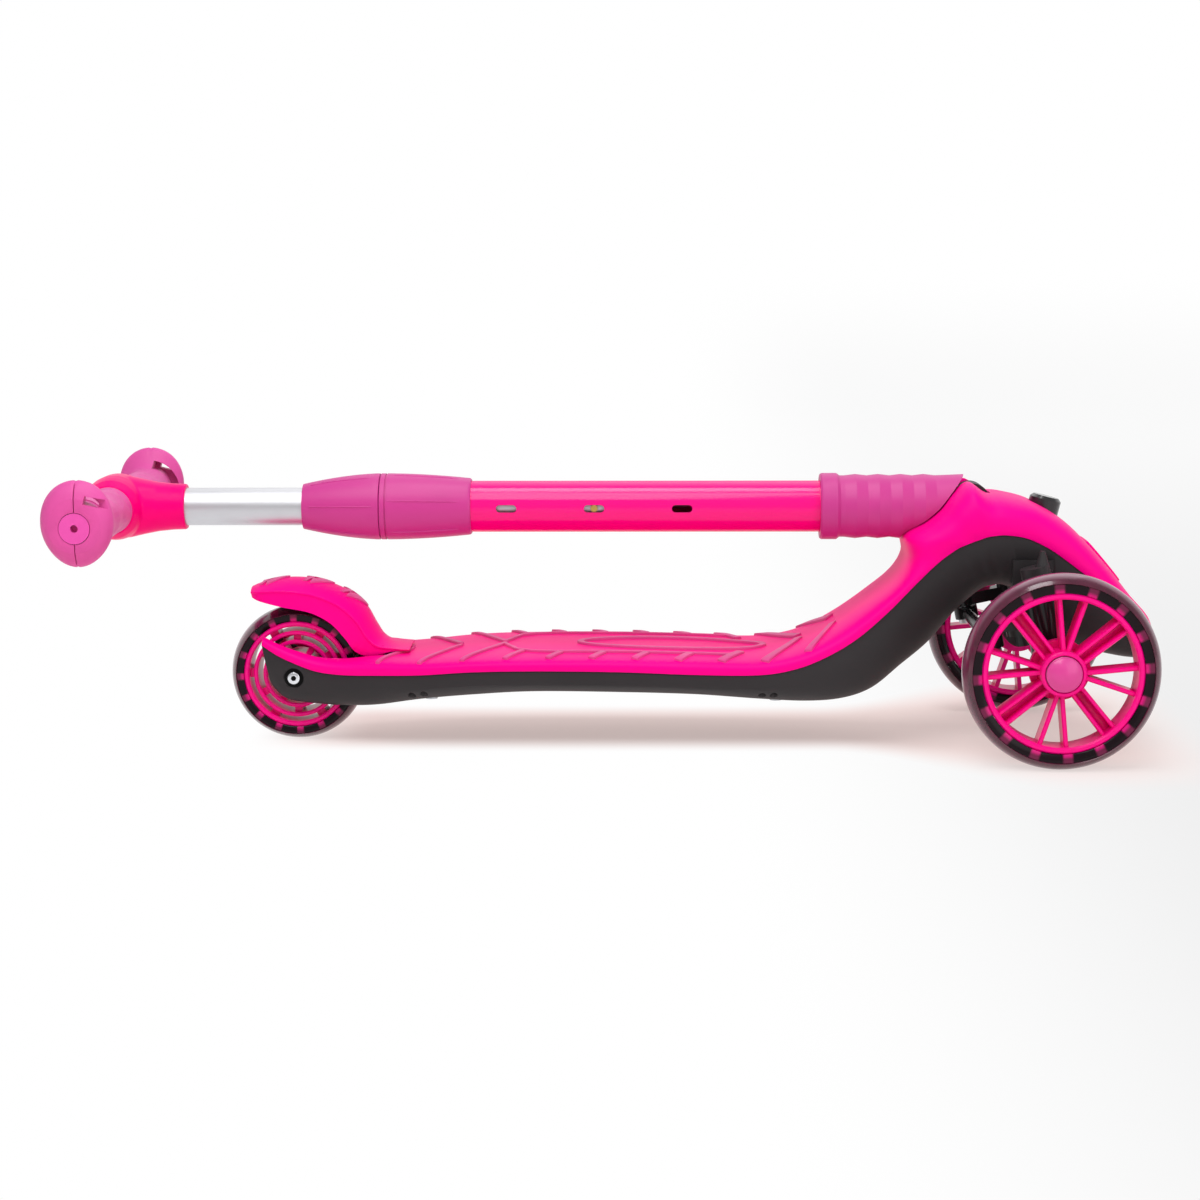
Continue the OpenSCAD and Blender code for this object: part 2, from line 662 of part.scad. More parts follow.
// Three raised arrow pads, from the rear axle: [middle x, middle up, slope]
grip_places = [[-12, 62.6, -6], [19, 61.2, 20], [41, 49.8, 50]];
module fender_grips() {
    color(mauve) place() difference() {
        intersection() {
            for (g = grip_places) let (middle = over_wheel([g[0], g[1]]))
                translate([middle[0], 0, middle[1]]) rotate([0, g[2], 0]) translate([0, 0, -8])
                    linear_extrude(14) polygon([[-8, -11], [8, 0], [-8, 11], [-4, 0]]);
            loft([for (s = fender_stations) fender_cap(s, 0, 1.6)]);
        }
        loft([for (s = fender_stations) fender_cap(s, 0, seat)]);
    }
}
pad_r = rear_wheel_d / 2 + brake_gap;
pad_half_l = 16;
pad_half_w = 11;
module brake_pad() {
    color(charcoal) place() intersection() {
        across(0, rear_axle_z) translate([0, 0, -pad_half_w]) tube(pad_r + 20, pad_r, 2 * pad_half_w);
        translate([-pad_half_l, -pad_half_w, rear_axle_z])
            cube([2 * pad_half_l, 2 * pad_half_w, 2 * pad_r]);
        loft([for (s = fender_stations) fender_cap(s, fender_skin, -fender_skin - 2 * seat)]);
    }
}

// Folding stem -----------------------------------------------------------------

lower_r = lower_tube_d / 2;
lower_bore = lower_r - lower_tube_wall;
upper_r = upper_tube_d / 2;
clamp_r = lower_r + clamp_wall;
// Along the stem, the clamp is placed from the handlebar and the rest from the fold pin
clamp_x = bar_x + 125;
nut_l = 51.5;
clamp_seam = 0.4;
base_end_x = clamp_x + 112;
lower_tube_x = clamp_x + 25;
lower_tube_end = fold_x - 48;
sleeve_x = fold_x - 100;
sleeve_end = fold_x - 2;
sleeve_r = clamp_r - 0.7;
shank_x = fold_x - 82;

// Edge of the head's mouth in side view, from below its low corner to its tip, from the front axles
mouth = [[-103, 52.5], [-93.5, 64.5], [-91, 75.5], [-78, 84.5], [-68, 93], [-60, 103], [-50, 115]];
// Everything ahead of the mouth, drawn shift further back
module ahead_of_mouth(shift) {
    edge = [for (p = smooth(mouth, 3)) [p[0] + wheelbase - shift, head_z(p[1])]];
    last = len(edge) - 1;
    side_plate(concat([[edge[0][0], front_axle_z]], edge, [[edge[last][0] + 1, fold_z + 40],
        [nose_x, fold_z + 40], [nose_x, front_axle_z]]), -deck_half_w, deck_half_w);
}

neck_r = lower_r - 0.1;
bolt_x = [fold_x - 74, fold_x - 58];
bolt_r = 2.5;
module hinge_block() {
    color(charcoal) place() difference() {
        union() {
            difference() {
                union() {
                    on_stem(shank_x) cylinder(r = lower_bore - seat, h = lower_tube_end - shank_x + 0.4);
                    on_stem(lower_tube_end + 0.2) cylinder(r = neck_r, h = 22);
                }
                ahead_of_mouth(1);
            }
            intersection() {
                side_plate([[lower_tube_end + 5, fold_z - drum_r], [fold_x, fold_z - drum_r],
                    [fold_x, fold_z + 5], [fold_x - 10, stem_z + 14], [lower_tube_end + 5, stem_z + 14]],
                    -block_w / 2, block_w / 2);
                on_stem(lower_tube_end) cylinder(r = neck_r, h = fold_x - lower_tube_end + drum_r);
            }
            across(fold_x, fold_z) cylinder(r = drum_r, h = block_w, center = true);
        }
        across(fold_x, fold_z) cylinder(r = fold_pin_d / 2 + run, h = block_w + 2, center = true);
        // Notch that the lock holds when the stem stands up
        translate([fold_x + drum_r - 2.5, -4.5, fold_z - 2]) cube([5, 9, 4]);
        for (x = bolt_x) across(x, stem_z)
            cylinder(r = bolt_r + seat, h = lower_tube_d + 2, center = true);
    }
}

module block_bolts() {
    color(steel) place() for (x = bolt_x) across(x, stem_z)
        cylinder(r = bolt_r, h = lower_tube_d + 1, center = true);
}

ridge_n = 4;
module fold_sleeve() {
    ridges = [for (i = [0 : 4 * ridge_n])
        [sleeve_r - 0.45 - 0.45 * cos(90 * i), 16 + i * 60 / (4 * ridge_n)]];
    color(mauve) place() difference() {
        on_stem(sleeve_x) rotate_extrude() polygon(concat(
            [[lower_r + seat, 0], [clamp_r - 0.8, 0], [clamp_r, 1.2], [clamp_r, 11], [sleeve_r - 0.9, 13]],
            ridges, [[sleeve_r, sleeve_end - sleeve_x], [lower_r + seat, sleeve_end - sleeve_x]]));
        ahead_of_mouth(2.5 * gap);
        across(fold_x, fold_z) cylinder(r = mouth_relief_r, h = 2 * deck_half_w, center = true);
        for (x = bolt_x) across(x, stem_z)
            cylinder(r = bolt_r + 0.5, h = lower_tube_d + 2, center = true);
    }
}

// A slot with round ends through the near wall, with its middle at x
module height_slot(x) {
    translate([x, 0, stem_z]) rotate([90, 0, 0]) {
        translate([-(slot_l - slot_w) / 2, -slot_w / 2, 0])
            cube([slot_l - slot_w, slot_w, lower_tube_d]);
        for (side = [-1, 1]) translate([side * (slot_l - slot_w) / 2, 0, 0])
            cylinder(d = slot_w, h = lower_tube_d);
    }
}
snap_x = fold_x - 249.3;
module lower_tube() {
    color(hot_pink) place() difference() {
        on_stem(lower_tube_x) tube(lower_r, lower_bore, lower_tube_end - lower_tube_x);
        for (i = [-1 : 1]) height_slot(snap_x + i * slot_pitch);
        for (x = bolt_x) across(x, stem_z)
            cylinder(r = bolt_r + seat, h = lower_tube_d + 2, center = true);
    }
}

base_x0 = clamp_x + nut_l + clamp_seam;
module clamp_base() {
    n = 8;
    length = base_end_x - base_x0;
    taper = clamp_wall - 1.7;
    profile = [for (i = [0 : n]) [clamp_r - taper * pow(i / n, 1.8), 4.4 + (length - 4.4) * i / n]];
    color(mauve) place() on_stem(base_x0) {
        rotate_extrude() polygon(concat([[lower_r + seat, 0], [clamp_r, 0], [clamp_r, 3.4],
            [clamp_r - 0.7, 3.5], [clamp_r - 0.7, 4.3]], profile, [[lower_r + seat, length]]));
        for (a = rib_angles) rotate([0, 0, a]) translate([clamp_r - 1, -0.6, 5])
            cube([1.3, 1.2, 24]);
    }
}
rib_angles = [15, 75, 135, 195, 255, 315];

// The glide bush that the upper tube slides in, split at its free end
module collet() {
    free_l = lower_tube_x - clamp_x - 3;
    held_l = 40;
    color(charcoal) place() on_stem(clamp_x + 3) difference() {
        union() {
            cylinder(r = lower_bore - 1, h = free_l);
            translate([0, 0, free_l]) cylinder(r = lower_bore - seat, h = held_l);
        }
        translate([0, 0, -1]) cylinder(r = upper_r + run, h = free_l + held_l + 2);
        for (a = [0, 90]) rotate([0, 0, a]) translate([-0.8, -lower_r, -1])
            cube([1.6, lower_tube_d, free_l - 3]);
    }
}

module clamp_nut() {
    n = 10;
    taper = clamp_wall + 2;
    profile = [for (i = [n : -1 : 0]) [clamp_r - taper * pow(i / n, 1.7), nut_l * (1 - i / n)]];
    color(mauve) place() on_stem(clamp_x) {
        rotate_extrude() polygon(concat([[upper_r + gap, 0]], profile,
            [[lower_r + gap, nut_l], [lower_r + gap, lower_tube_x - clamp_x - 1],
            [lower_bore - 0.6, 16], [lower_bore - 0.6, 2.4], [upper_r + gap, 2.4]]));
        for (a = rib_angles) rotate([0, 0, a + 10]) translate([clamp_r - 1.3, -0.6, nut_l - 24])
            cube([1.3, 1.2, 23.5]);
    }
}

// Sliding bar --------------------------------------------------------------------

upper_tube_x = bar_x + 18;
upper_tube_end = snap_x + 23.3;
snap_r = 2.3;
module upper_tube() {
    color(steel) place() difference() {
        on_stem(upper_tube_x) tube(upper_r, upper_r - upper_tube_wall, upper_tube_end - upper_tube_x);
        translate([snap_x, 0, stem_z]) rotate([90, 0, 0]) cylinder(r = snap_r + run, h = lower_tube_d);
    }
}
module tube_shoe() {
    color(charcoal) place() difference() {
        on_stem(upper_tube_end - 12) {
            cylinder(r = upper_r - upper_tube_wall - seat, h = 12);
            translate([0, 0, 12.1]) cylinder(r = lower_bore - gap, h = 9);
        }
        on_stem(upper_tube_end - 13) cylinder(r = upper_r - upper_tube_wall - 3, h = 24);
    }
}
module snap_button() {
    color(brass) place() translate([snap_x, 0, stem_z]) rotate([90, 0, 0]) {
        translate([0, 0, 3]) cylinder(r = snap_r, h = lower_bore - 0.15 - 3);
        translate([0, 0, 4]) cylinder(r = 4, h = 3);
    }
}
module snap_spring() {
    color(steel) place() translate([snap_x, 0, stem_z]) rotate([90, 0, 0])
        translate([0, 0, -upper_r + upper_tube_wall + 0.6]) coil(3, 0.5, 5, upper_r - upper_tube_wall + 3.2);
}

t_barrel_r = 21.5;
t_half_l = 24;
t_arm_l = 47;
t_screw_r = 2.5;
t_head_r = 4.5;
module t_piece() {
    color(hot_pink) place() difference() {
        union() {
            across(bar_x, stem_z) rotate_extrude() polygon([[0, -t_half_l - 3], [grip_r + 0.5, -t_half_l - 3],
                [grip_r + 2, -t_half_l], [t_barrel_r - 1, -t_half_l + 9], [t_barrel_r, -8], [t_barrel_r, 8],
                [t_barrel_r - 1, t_half_l - 9], [grip_r + 2, t_half_l], [grip_r + 0.5, t_half_l + 3],
                [0, t_half_l + 3]]);
            on_stem(bar_x) rotate_extrude() polygon([[0, 0], [t_barrel_r - 0.5, 0], [t_barrel_r - 1, 9],
                [upper_r + 5.8, 18], [upper_r + 3.8, 28], [upper_r + 2.7, 38], [upper_r + 2.5, t_arm_l],
                [0, t_arm_l]]);
        }
        across(bar_x, stem_z) cylinder(r = bar_d / 2 + seat, h = 4 * t_half_l, center = true);
        on_stem(upper_tube_x - 0.2) cylinder(r = upper_r + seat, h = t_arm_l);
        on_stem(bar_x - 2 * t_barrel_r) cylinder(r = t_screw_r + seat, h = 2 * t_barrel_r);
        on_stem(bar_x - t_barrel_r - 1) cylinder(r = t_head_r + 0.3, h = 3.8);
    }
}
module t_screw() {
    color(steel) place() on_stem(bar_x - t_barrel_r + 0.3) rotate([180, 0, 0])
        screw(t_screw_r, t_barrel_r - bar_d / 2 - 3, t_head_r, 2.5);
}
bar_half = bar_w / 2;
bar_wall = 1.5;
bar_tube_l = bar_w - 16;
module bar_tube() {
    color(steel) place() across(bar_x, stem_z) difference() {
        cylinder(r = bar_d / 2, h = bar_tube_l, center = true);
        cylinder(r = bar_d / 2 - bar_wall, h = bar_w, center = true);
    }
}

// [distance from the outer end, half-width, reach above the bar, reach below the bar]
grip_rows = [
    [0, 16.5, 18.5, 15.5], [2, 19.4, 23.6, 19.4], [5, 21.6, 27.4, 23], [9, grip_half_l, 29.4, 25],
    [13, 21.8, 28, 24], [17, 18.6, 22.6, 20], [22, grip_r + 0.8, grip_r + 1.6, grip_r + 1.2],
    [32, grip_r, grip_r, grip_r], [62, grip_r + 0.4, grip_r + 0.4, grip_r + 0.4],
    [92, grip_r, grip_r, grip_r], [bar_half - t_half_l - 3.4, grip_r, grip_r, grip_r]
];
egg = 0.12;
plug_r = 9.6;
// side is -1 for the right hand and 1 for the left
module grip(side) {
    rings = [for (s = smooth(grip_rows, 2)) let (flare = egg * (s[1] - grip_r) / (grip_half_l - grip_r))
        [for (i = [0 : 27]) let (a = 360 * i / 28, reach = sin(a) > 0 ? s[2] : s[3])
            [bar_x + s[1] * (1 + flare * sin(a)) * cos(a), side * (bar_half - s[0]), stem_z + reach * sin(a)]]];
    difference() {
        loft([for (ring = rings) side > 0 ? reverse(ring) : ring]);
        across(bar_x, stem_z) cylinder(r = bar_d / 2 + seat, h = bar_tube_l + 2, center = true);
        across(bar_x, stem_z) cylinder(r = plug_r + seat, h = bar_w + 2, center = true);
        // Slanted slot for ribbons
        translate([bar_x + 10.3, side * bar_half, stem_z + 20]) rotate([0, 28, 0])
            cube([12, 60, 6], center = true);
    }
}
module right_grip() {
    color(mauve) place() grip(-1);
}
module left_grip() {
    color(mauve) place() grip(1);
}
module end_plugs() {
    color(mauve) place() for (side = [-1, 1]) translate([bar_x, side * bar_half, stem_z])
        rotate([90 * side, 0, 0]) difference() {
            translate([0, 0, -0.4]) cylinder(r = plug_r, h = 7);
            translate([0, 0, -1]) cylinder(r = plug_hole_r, h = 6);
        }
}

// Steering -----------------------------------------------------------------------

barrel_r = 12;
bush_r = kingpin_r + 2.5;
bush_low = 2.2;
arm_low = 26;
arm_h = 8;
arm_eye_r = 8;
stud_r = 4;
rod_eye_h = 8;
rod_low = arm_low - rod_eye_h - 1;
axle_boss_r = 13;
knuckle_face = track / 2 - 13.5;
module knuckle(side) {
    difference() {
        union() {
            on_kingpin(side) {
                translate([0, 0, -2]) cylinder(r = barrel_r, h = barrel_top + 2);
                translate([-arm_l, 0, arm_low]) cylinder(r = arm_eye_r, h = arm_h);
                translate([-arm_l, -6.5, arm_low]) cube([arm_l, 13, arm_h]);
            }
            translate([wheelbase, side * (kingpin_y + 6), front_axle_z]) rotate([-90 * side, 0, 0])
                cylinder(r = axle_boss_r, h = knuckle_face - kingpin_y - 6);
        }
        on_kingpin(side) {
            translate([0, 0, bush_low]) cylinder(r = bush_r + seat, h = barrel_top);
            translate([0, 0, bush_low - barrel_top]) cylinder(r = kingpin_head_r + 0.6, h = barrel_top + 0.01);
            translate([-arm_l, 0, 0]) cylinder(r = stud_r, h = 2 * barrel_top);
        }
        on_front_wheel(side) translate([0, 0, -track / 2 + kingpin_y + 9.5])
            cylinder(r = axle_d / 2, h = 60);
    }
}
module right_knuckle() {
    color(charcoal) place() knuckle(-1);
}
module left_knuckle() {
    color(charcoal) place() knuckle(1);
}
module kingpin_bush(side) {
    on_kingpin(side) translate([0, 0, bush_low + 0.1])
        tube(bush_r, kingpin_r, barrel_top - bush_low - 0.1);
}
module right_kingpin_bush() {
    color(brass) place() kingpin_bush(-1);
}
module left_kingpin_bush() {
    color(brass) place() kingpin_bush(1);
}
module rod_stud(side) {
    on_kingpin(side) translate([-arm_l, 0, 0]) {
        translate([0, 0, rod_low - 1]) cylinder(r = stud_r - seat, h = arm_low + arm_h - rod_low + 1);
        translate([0, 0, rod_low - 3]) cylinder(r = 6, h = 2.6);
        translate([0, 0, arm_low + arm_h + 0.1]) cylinder(r = 6, h = 3, $fn = 6);
        translate([0, 0, arm_low + arm_h - 0.5]) cylinder(r = stud_r - seat, h = 1);
    }
}
module right_rod_stud() {
    color(steel) place() rod_stud(-1);
}
module left_rod_stud() {
    color(steel) place() rod_stud(1);
}
module tie_rod() {
    color(charcoal) place() translate([wheelbase, 0, front_axle_z]) rotate([0, -kingpin_rake, 0])
        translate([-arm_l, 0, rod_low]) difference() {
            union() {
                translate([0, 0, rod_eye_h / 2]) rotate([90, 0, 0])
                    cylinder(d = tie_rod_d * 0.8, h = 2 * kingpin_y, center = true);
                for (side = [-1, 1]) translate([0, side * kingpin_y, 0]) cylinder(r = 8, h = rod_eye_h);
            }
            for (side = [-1, 1]) translate([0, side * kingpin_y, -1])
                cylinder(r = stud_r, h = rod_eye_h + 2);
        }
}

// Wheels, drawn with the axle along +Z and +Z outward ----------------------------

module tyre(wheel_d, depth, width) {
    r = wheel_d / 2;
    half = width / 2;
    shoulder = r - depth * 0.45;
    crown = (half * half + (r - shoulder) * (r - shoulder)) / (2 * (r - shoulder));
    rotate_extrude($fn = 96) intersection() {
        translate([r - depth, -half]) square([depth, width]);
        translate([r - crown, 0]) circle(r = crown, $fn = 96);
    }
}
rim_depth = 4;
front_bearing_in = 2;
front_hub_r = bearing_r + 3.4;
module front_rim() {
    rim_r = front_wheel_d / 2 - front_tyre_depth;
    half = front_tyre_w / 2 - 1.2;
    spoke_l = rim_r - rim_depth - 11.5;
    difference() {
        union() {
            translate([0, 0, -half]) tube(rim_r - seat, rim_r - rim_depth, 2 * half);
            translate([0, 0, -11]) cylinder(r = front_hub_r, h = 11 + cap_low + 3.2);
            translate([0, 0, -11]) cylinder(r = front_hub_r + 5, h = 5);
            for (q = [0 : 3]) rotate([0, 0, 90 * q - 6.5]) {
                for (lean = [-1, 1]) {
                    rotate([0, 0, lean * 2]) translate([12, lean * 1.3, -8]) rotate([0, 0, lean * 11])
                        translate([0, -spoke_w / 2, 0]) cube([spoke_l, spoke_w, 15]);
                    rotate([0, 0, 45]) translate([12, lean * 3.6 - spoke_w / 2, -8])
                        cube([spoke_l, spoke_w, 15]);
                }
                rotate([0, 0, 45]) translate([12, -3.6, -8]) cube([spoke_l, 7.2, 6]);
            }
        }
        for (z = [-30 - front_bearing_in, front_bearing_in]) translate([0, 0, z])
            cylinder(r = bearing_r + seat, h = 30);
        cylinder(r = 7.5, h = 40, center = true);
    }
}
module front_wheel_at(side) {
    on_front_wheel(side) mirror([side < 0 ? 0 : 1, 0, 0]) children();
}
module right_rim() {
    color(hot_pink) place() front_wheel_at(-1) front_rim();
}
module left_rim() {
    color(hot_pink) place() front_wheel_at(1) front_rim();
}
module right_tyre() {
    color(smoke) place() on_front_wheel(-1) tyre(front_wheel_d, front_tyre_depth, front_tyre_w);
}
module left_tyre() {
    color(smoke) place() on_front_wheel(1) tyre(front_wheel_d, front_tyre_depth, front_tyre_w);
}
cap_r = bearing_r + 0.4;
cap_low = front_bearing_in + bearing_w + 0.3;
cap_h = 7.3;
dome_r = 18;
bolt_head_r = 6.5;
module hub_cap() {
    difference() {
        union() {
            intersection() {
                translate([0, 0, cap_low + 3.3]) cylinder(r = cap_r, h = cap_h);
                translate([0, 0, cap_low + cap_h - dome_r]) sphere(r = dome_r, $fn = 64);
            }
            translate([0, 0, cap_low]) cylinder(r = bearing_r - 0.1, h = 4);
        }
        translate([0, 0, cap_low - 1]) cylinder(r = bolt_head_r + 1.5, h = 6);
    }
}
module right_hub_cap() {
    color(mauve) place() on_front_wheel(-1) hub_cap();
}
module left_hub_cap() {
    color(mauve) place() on_front_wheel(1) hub_cap();
}
// Two ball bearings with grooved faces, their inner faces gap_half from the middle
module bearings(gap_half) {
    for (side = [-1, 1]) translate([0, 0, side > 0 ? gap_half : -gap_half - bearing_w])
        difference() {
            tube(bearing_r, axle_d / 2, bearing_w);
            for (z = [-1, bearing_w - 0.6]) translate([0, 0, z]) tube(bearing_r - 2, axle_d / 2 + 2, 1.6);
        }
}
module right_bearings() {
    color(steel) place() on_front_wheel(-1) bearings(front_bearing_in);
}
module left_bearings() {
    color(steel) place() on_front_wheel(1) bearings(front_bearing_in);
}
module axle_bolt(side) {
    bolt_reach = track / 2 - kingpin_y - 10;
    on_front_wheel(side) difference() {
        union() {
            translate([0, 0, -bolt_reach]) cylinder(r = axle_r, h = bolt_reach + cap_low + 0.7);
            translate([0, 0, cap_low - 0.1]) cylinder(r = bolt_head_r, h = 5);
        }
        translate([0, 0, cap_low + 2.2]) cylinder(r = 3, h = 5, $fn = 6);
    }
}
module right_axle_bolt() {
    color(steel) place() axle_bolt(-1);
}
module left_axle_bolt() {
    color(steel) place() axle_bolt(1);
}
module axle_spacers(side) {
    face_in = track / 2 - knuckle_face - 0.1;
    on_front_wheel(side) {
        translate([0, 0, -front_bearing_in + 0.1]) tube(spacer_r, axle_d / 2, 2 * front_bearing_in - 0.2);
        translate([0, 0, -face_in]) tube(spacer_r, axle_d / 2, face_in - front_bearing_in - bearing_w - 0.1);
    }
}
module right_axle_spacers() {
    color(steel) place() axle_spacers(-1);
}
module left_axle_spacers() {
    color(steel) place() axle_spacers(1);
}
rear_rim_r = rear_wheel_d / 2 - rear_tyre_depth;
rear_hub_r = bearing_r + 3.5;
bridge_half = 8;
// Six bridges between two hoops, set round by turn
module bridges(inner_r, outer_r, width, turn) {
    for (a = [0 : 60 : 300]) rotate([0, 0, a + turn])
        translate([inner_r - 1, -width / 2, -bridge_half])
            cube([outer_r - inner_r + 2, width, 2 * bridge_half]);
}
module rear_rim() {
    half = rear_tyre_w / 2 - 1;
    rim_in = rear_rim_r - 3.5;
    hoop_t = 2.8;
    outer_hoop = rear_hub_r + (rim_in - rear_hub_r) * 0.83;
    inner_hoop = rear_hub_r + (rim_in - rear_hub_r) * 0.475;
    color(hot_pink) place() across(0, rear_axle_z) difference() {
        union() {
            translate([0, 0, -half]) tube(rear_rim_r - seat, rim_in, 2 * half);
            translate([0, 0, -half + 1]) tube(outer_hoop, outer_hoop - hoop_t, 2 * half - 2);
            translate([0, 0, -half + 2]) tube(inner_hoop, inner_hoop - hoop_t, 2 * half - 4);
            translate([0, 0, -rear_bearing_out - 0.2]) cylinder(r = rear_hub_r, h = 2 * rear_bearing_out + 0.4);
            bridges(rear_hub_r, inner_hoop - hoop_t, 4, 0);
            bridges(inner_hoop, outer_hoop - hoop_t, 5, 30);
            bridges(outer_hoop, rim_in, 6, 0);
        }
        for (side = [-1, 1]) translate([0, 0, side > 0 ? rear_bearing_out - bearing_w : -rear_wheel_d])
            cylinder(r = bearing_r + seat, h = rear_wheel_d - rear_bearing_out + bearing_w);
        cylinder(r = spacer_r + 1.5, h = rear_wheel_d, center = true);
    }
}
module rear_tyre() {
    color(smoke) place() across(0, rear_axle_z) tyre(rear_wheel_d, rear_tyre_depth, rear_tyre_w);
}
module rear_bearings() {
    color(steel) place() across(0, rear_axle_z) bearings(rear_bearing_out - bearing_w);
}

// Draws the chosen piece, or all of them
deck_shell();
under_shell();
tread_ribs();
nose_panel();
shell_screws();
kingpin_beam();
fold_bracket();
bracket_screws();
fold_pin();
kingpins();
steering_springs();
rear_axle();
rear_axle_screws();
rear_spacers();
fender_pin();
fender_spring();
lock_spring();
lock_button();
fender();
fender_grips();
brake_pad();
hinge_block();
block_bolts();
fold_sleeve();
lower_tube();
clamp_base();
collet();
clamp_nut();
upper_tube();
tube_shoe();
t_piece();
t_screw();
bar_tube();
right_grip();
left_grip();
end_plugs();
snap_spring();
snap_button();
right_knuckle();
left_knuckle();
right_kingpin_bush();
left_kingpin_bush();
right_axle_bolt();
left_axle_bolt();
right_axle_spacers();
left_axle_spacers();
right_rod_stud();
left_rod_stud();
tie_rod();
right_rim();
right_tyre();
right_hub_cap();
right_bearings();
left_rim();
left_tyre();
left_hub_cap();
left_bearings();
rear_rim();
rear_tyre();
rear_bearings();
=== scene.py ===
import logging
import math
from dataclasses import dataclass, field
from enum import Enum
from typing import Any, Iterable, NamedTuple, Sequence

import bmesh
import bpy
from mathutils import Matrix, Vector


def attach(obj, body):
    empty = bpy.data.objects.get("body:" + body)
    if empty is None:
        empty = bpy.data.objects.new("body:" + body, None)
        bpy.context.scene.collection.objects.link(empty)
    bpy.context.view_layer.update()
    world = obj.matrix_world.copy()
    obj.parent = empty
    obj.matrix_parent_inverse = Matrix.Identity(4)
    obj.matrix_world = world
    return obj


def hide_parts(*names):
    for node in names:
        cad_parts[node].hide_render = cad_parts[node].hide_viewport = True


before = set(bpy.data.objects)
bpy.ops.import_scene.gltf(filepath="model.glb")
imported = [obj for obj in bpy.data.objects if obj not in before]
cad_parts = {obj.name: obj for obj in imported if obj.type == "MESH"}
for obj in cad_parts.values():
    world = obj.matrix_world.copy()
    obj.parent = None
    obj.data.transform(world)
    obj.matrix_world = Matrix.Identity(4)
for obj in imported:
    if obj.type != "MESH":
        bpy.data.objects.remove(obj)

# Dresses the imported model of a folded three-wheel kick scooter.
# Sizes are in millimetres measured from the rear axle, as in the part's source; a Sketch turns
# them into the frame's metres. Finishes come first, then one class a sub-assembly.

LOG = logging.getLogger("scooter")
MM = 0.001
FRAME_X = -211.85
CREASE = 32.0
Flat = tuple[float, float]
Point = tuple[float, float, float]
Colour = tuple[float, float, float, float]
Numbers = tuple[float, ...]
Ring = list[Point]
Row = list[float]
# The signs of Y for what is made on both sides of one piece
SIDES = (-1, 1)


class Side(Enum):
    """The scooter's two hands, as the sign of Y."""

    RIGHT = -1
    LEFT = 1

    @property
    def word(self) -> str:
        """Return the side's name as the nodes and bodies spell it."""
        return self.name.lower()


class Cut(Enum):
    """What carve does with its shapes, by the Boolean modifier's names."""

    AWAY = "DIFFERENCE"
    ADD = "UNION"
    KEEP = "INTERSECT"


# Shader building --------------------------------------------------------------------------


class Wire:
    """One socket of a material's node tree that can be used in Python expressions."""

    def __init__(self, shader: "Shader", socket: bpy.types.NodeSocket) -> None:
        """Wrap an output socket of a shader's tree."""
        self.shader = shader
        self.socket = socket

    def _math(self, operation: str, *values: Any) -> "Wire":
        """Add one Math node on wires or numbers and return its output."""
        return self.shader.node("ShaderNodeMath", {"operation": operation}, dict(enumerate(values)))

    def __add__(self, other: Any) -> "Wire":
        """Return self + other."""
        return self._math("ADD", self, other)

    __radd__ = __add__

    def __sub__(self, other: Any) -> "Wire":
        """Return self - other."""
        return self._math("SUBTRACT", self, other)

    def __rsub__(self, other: Any) -> "Wire":
        """Return other - self."""
        return self._math("SUBTRACT", other, self)

    def __mul__(self, other: Any) -> "Wire":
        """Return self * other."""
        return self._math("MULTIPLY", self, other)

    __rmul__ = __mul__

    def __truediv__(self, other: Any) -> "Wire":
        """Return self / other."""
        return self._math("DIVIDE", self, other)

    def root(self) -> "Wire":
        """Return the square root."""
        return self._math("SQRT", self)

    def sine(self) -> "Wire":
        """Return the sine of an angle in radians."""
        return self._math("SINE", self)

    def size(self) -> "Wire":
        """Return the absolute value."""
        return self._math("ABSOLUTE", self)

    def turn_from(self, other: "Wire") -> "Wire":
        """Return the angle whose tangent is self / other."""
        return self._math("ARCTAN2", self, other)

    def ramp(self, low: float, high: float, to_low: float = 0.0, to_high: float = 1.0) -> "Wire":
        """Map the range low to high smoothly onto to_low to to_high, held at its ends."""
        return self.shader.node(
            "ShaderNodeMapRange", {"interpolation_type": "SMOOTHSTEP"},
            {"Value": self, "From Min": low, "From Max": high, "To Min": to_low, "To Max": to_high})


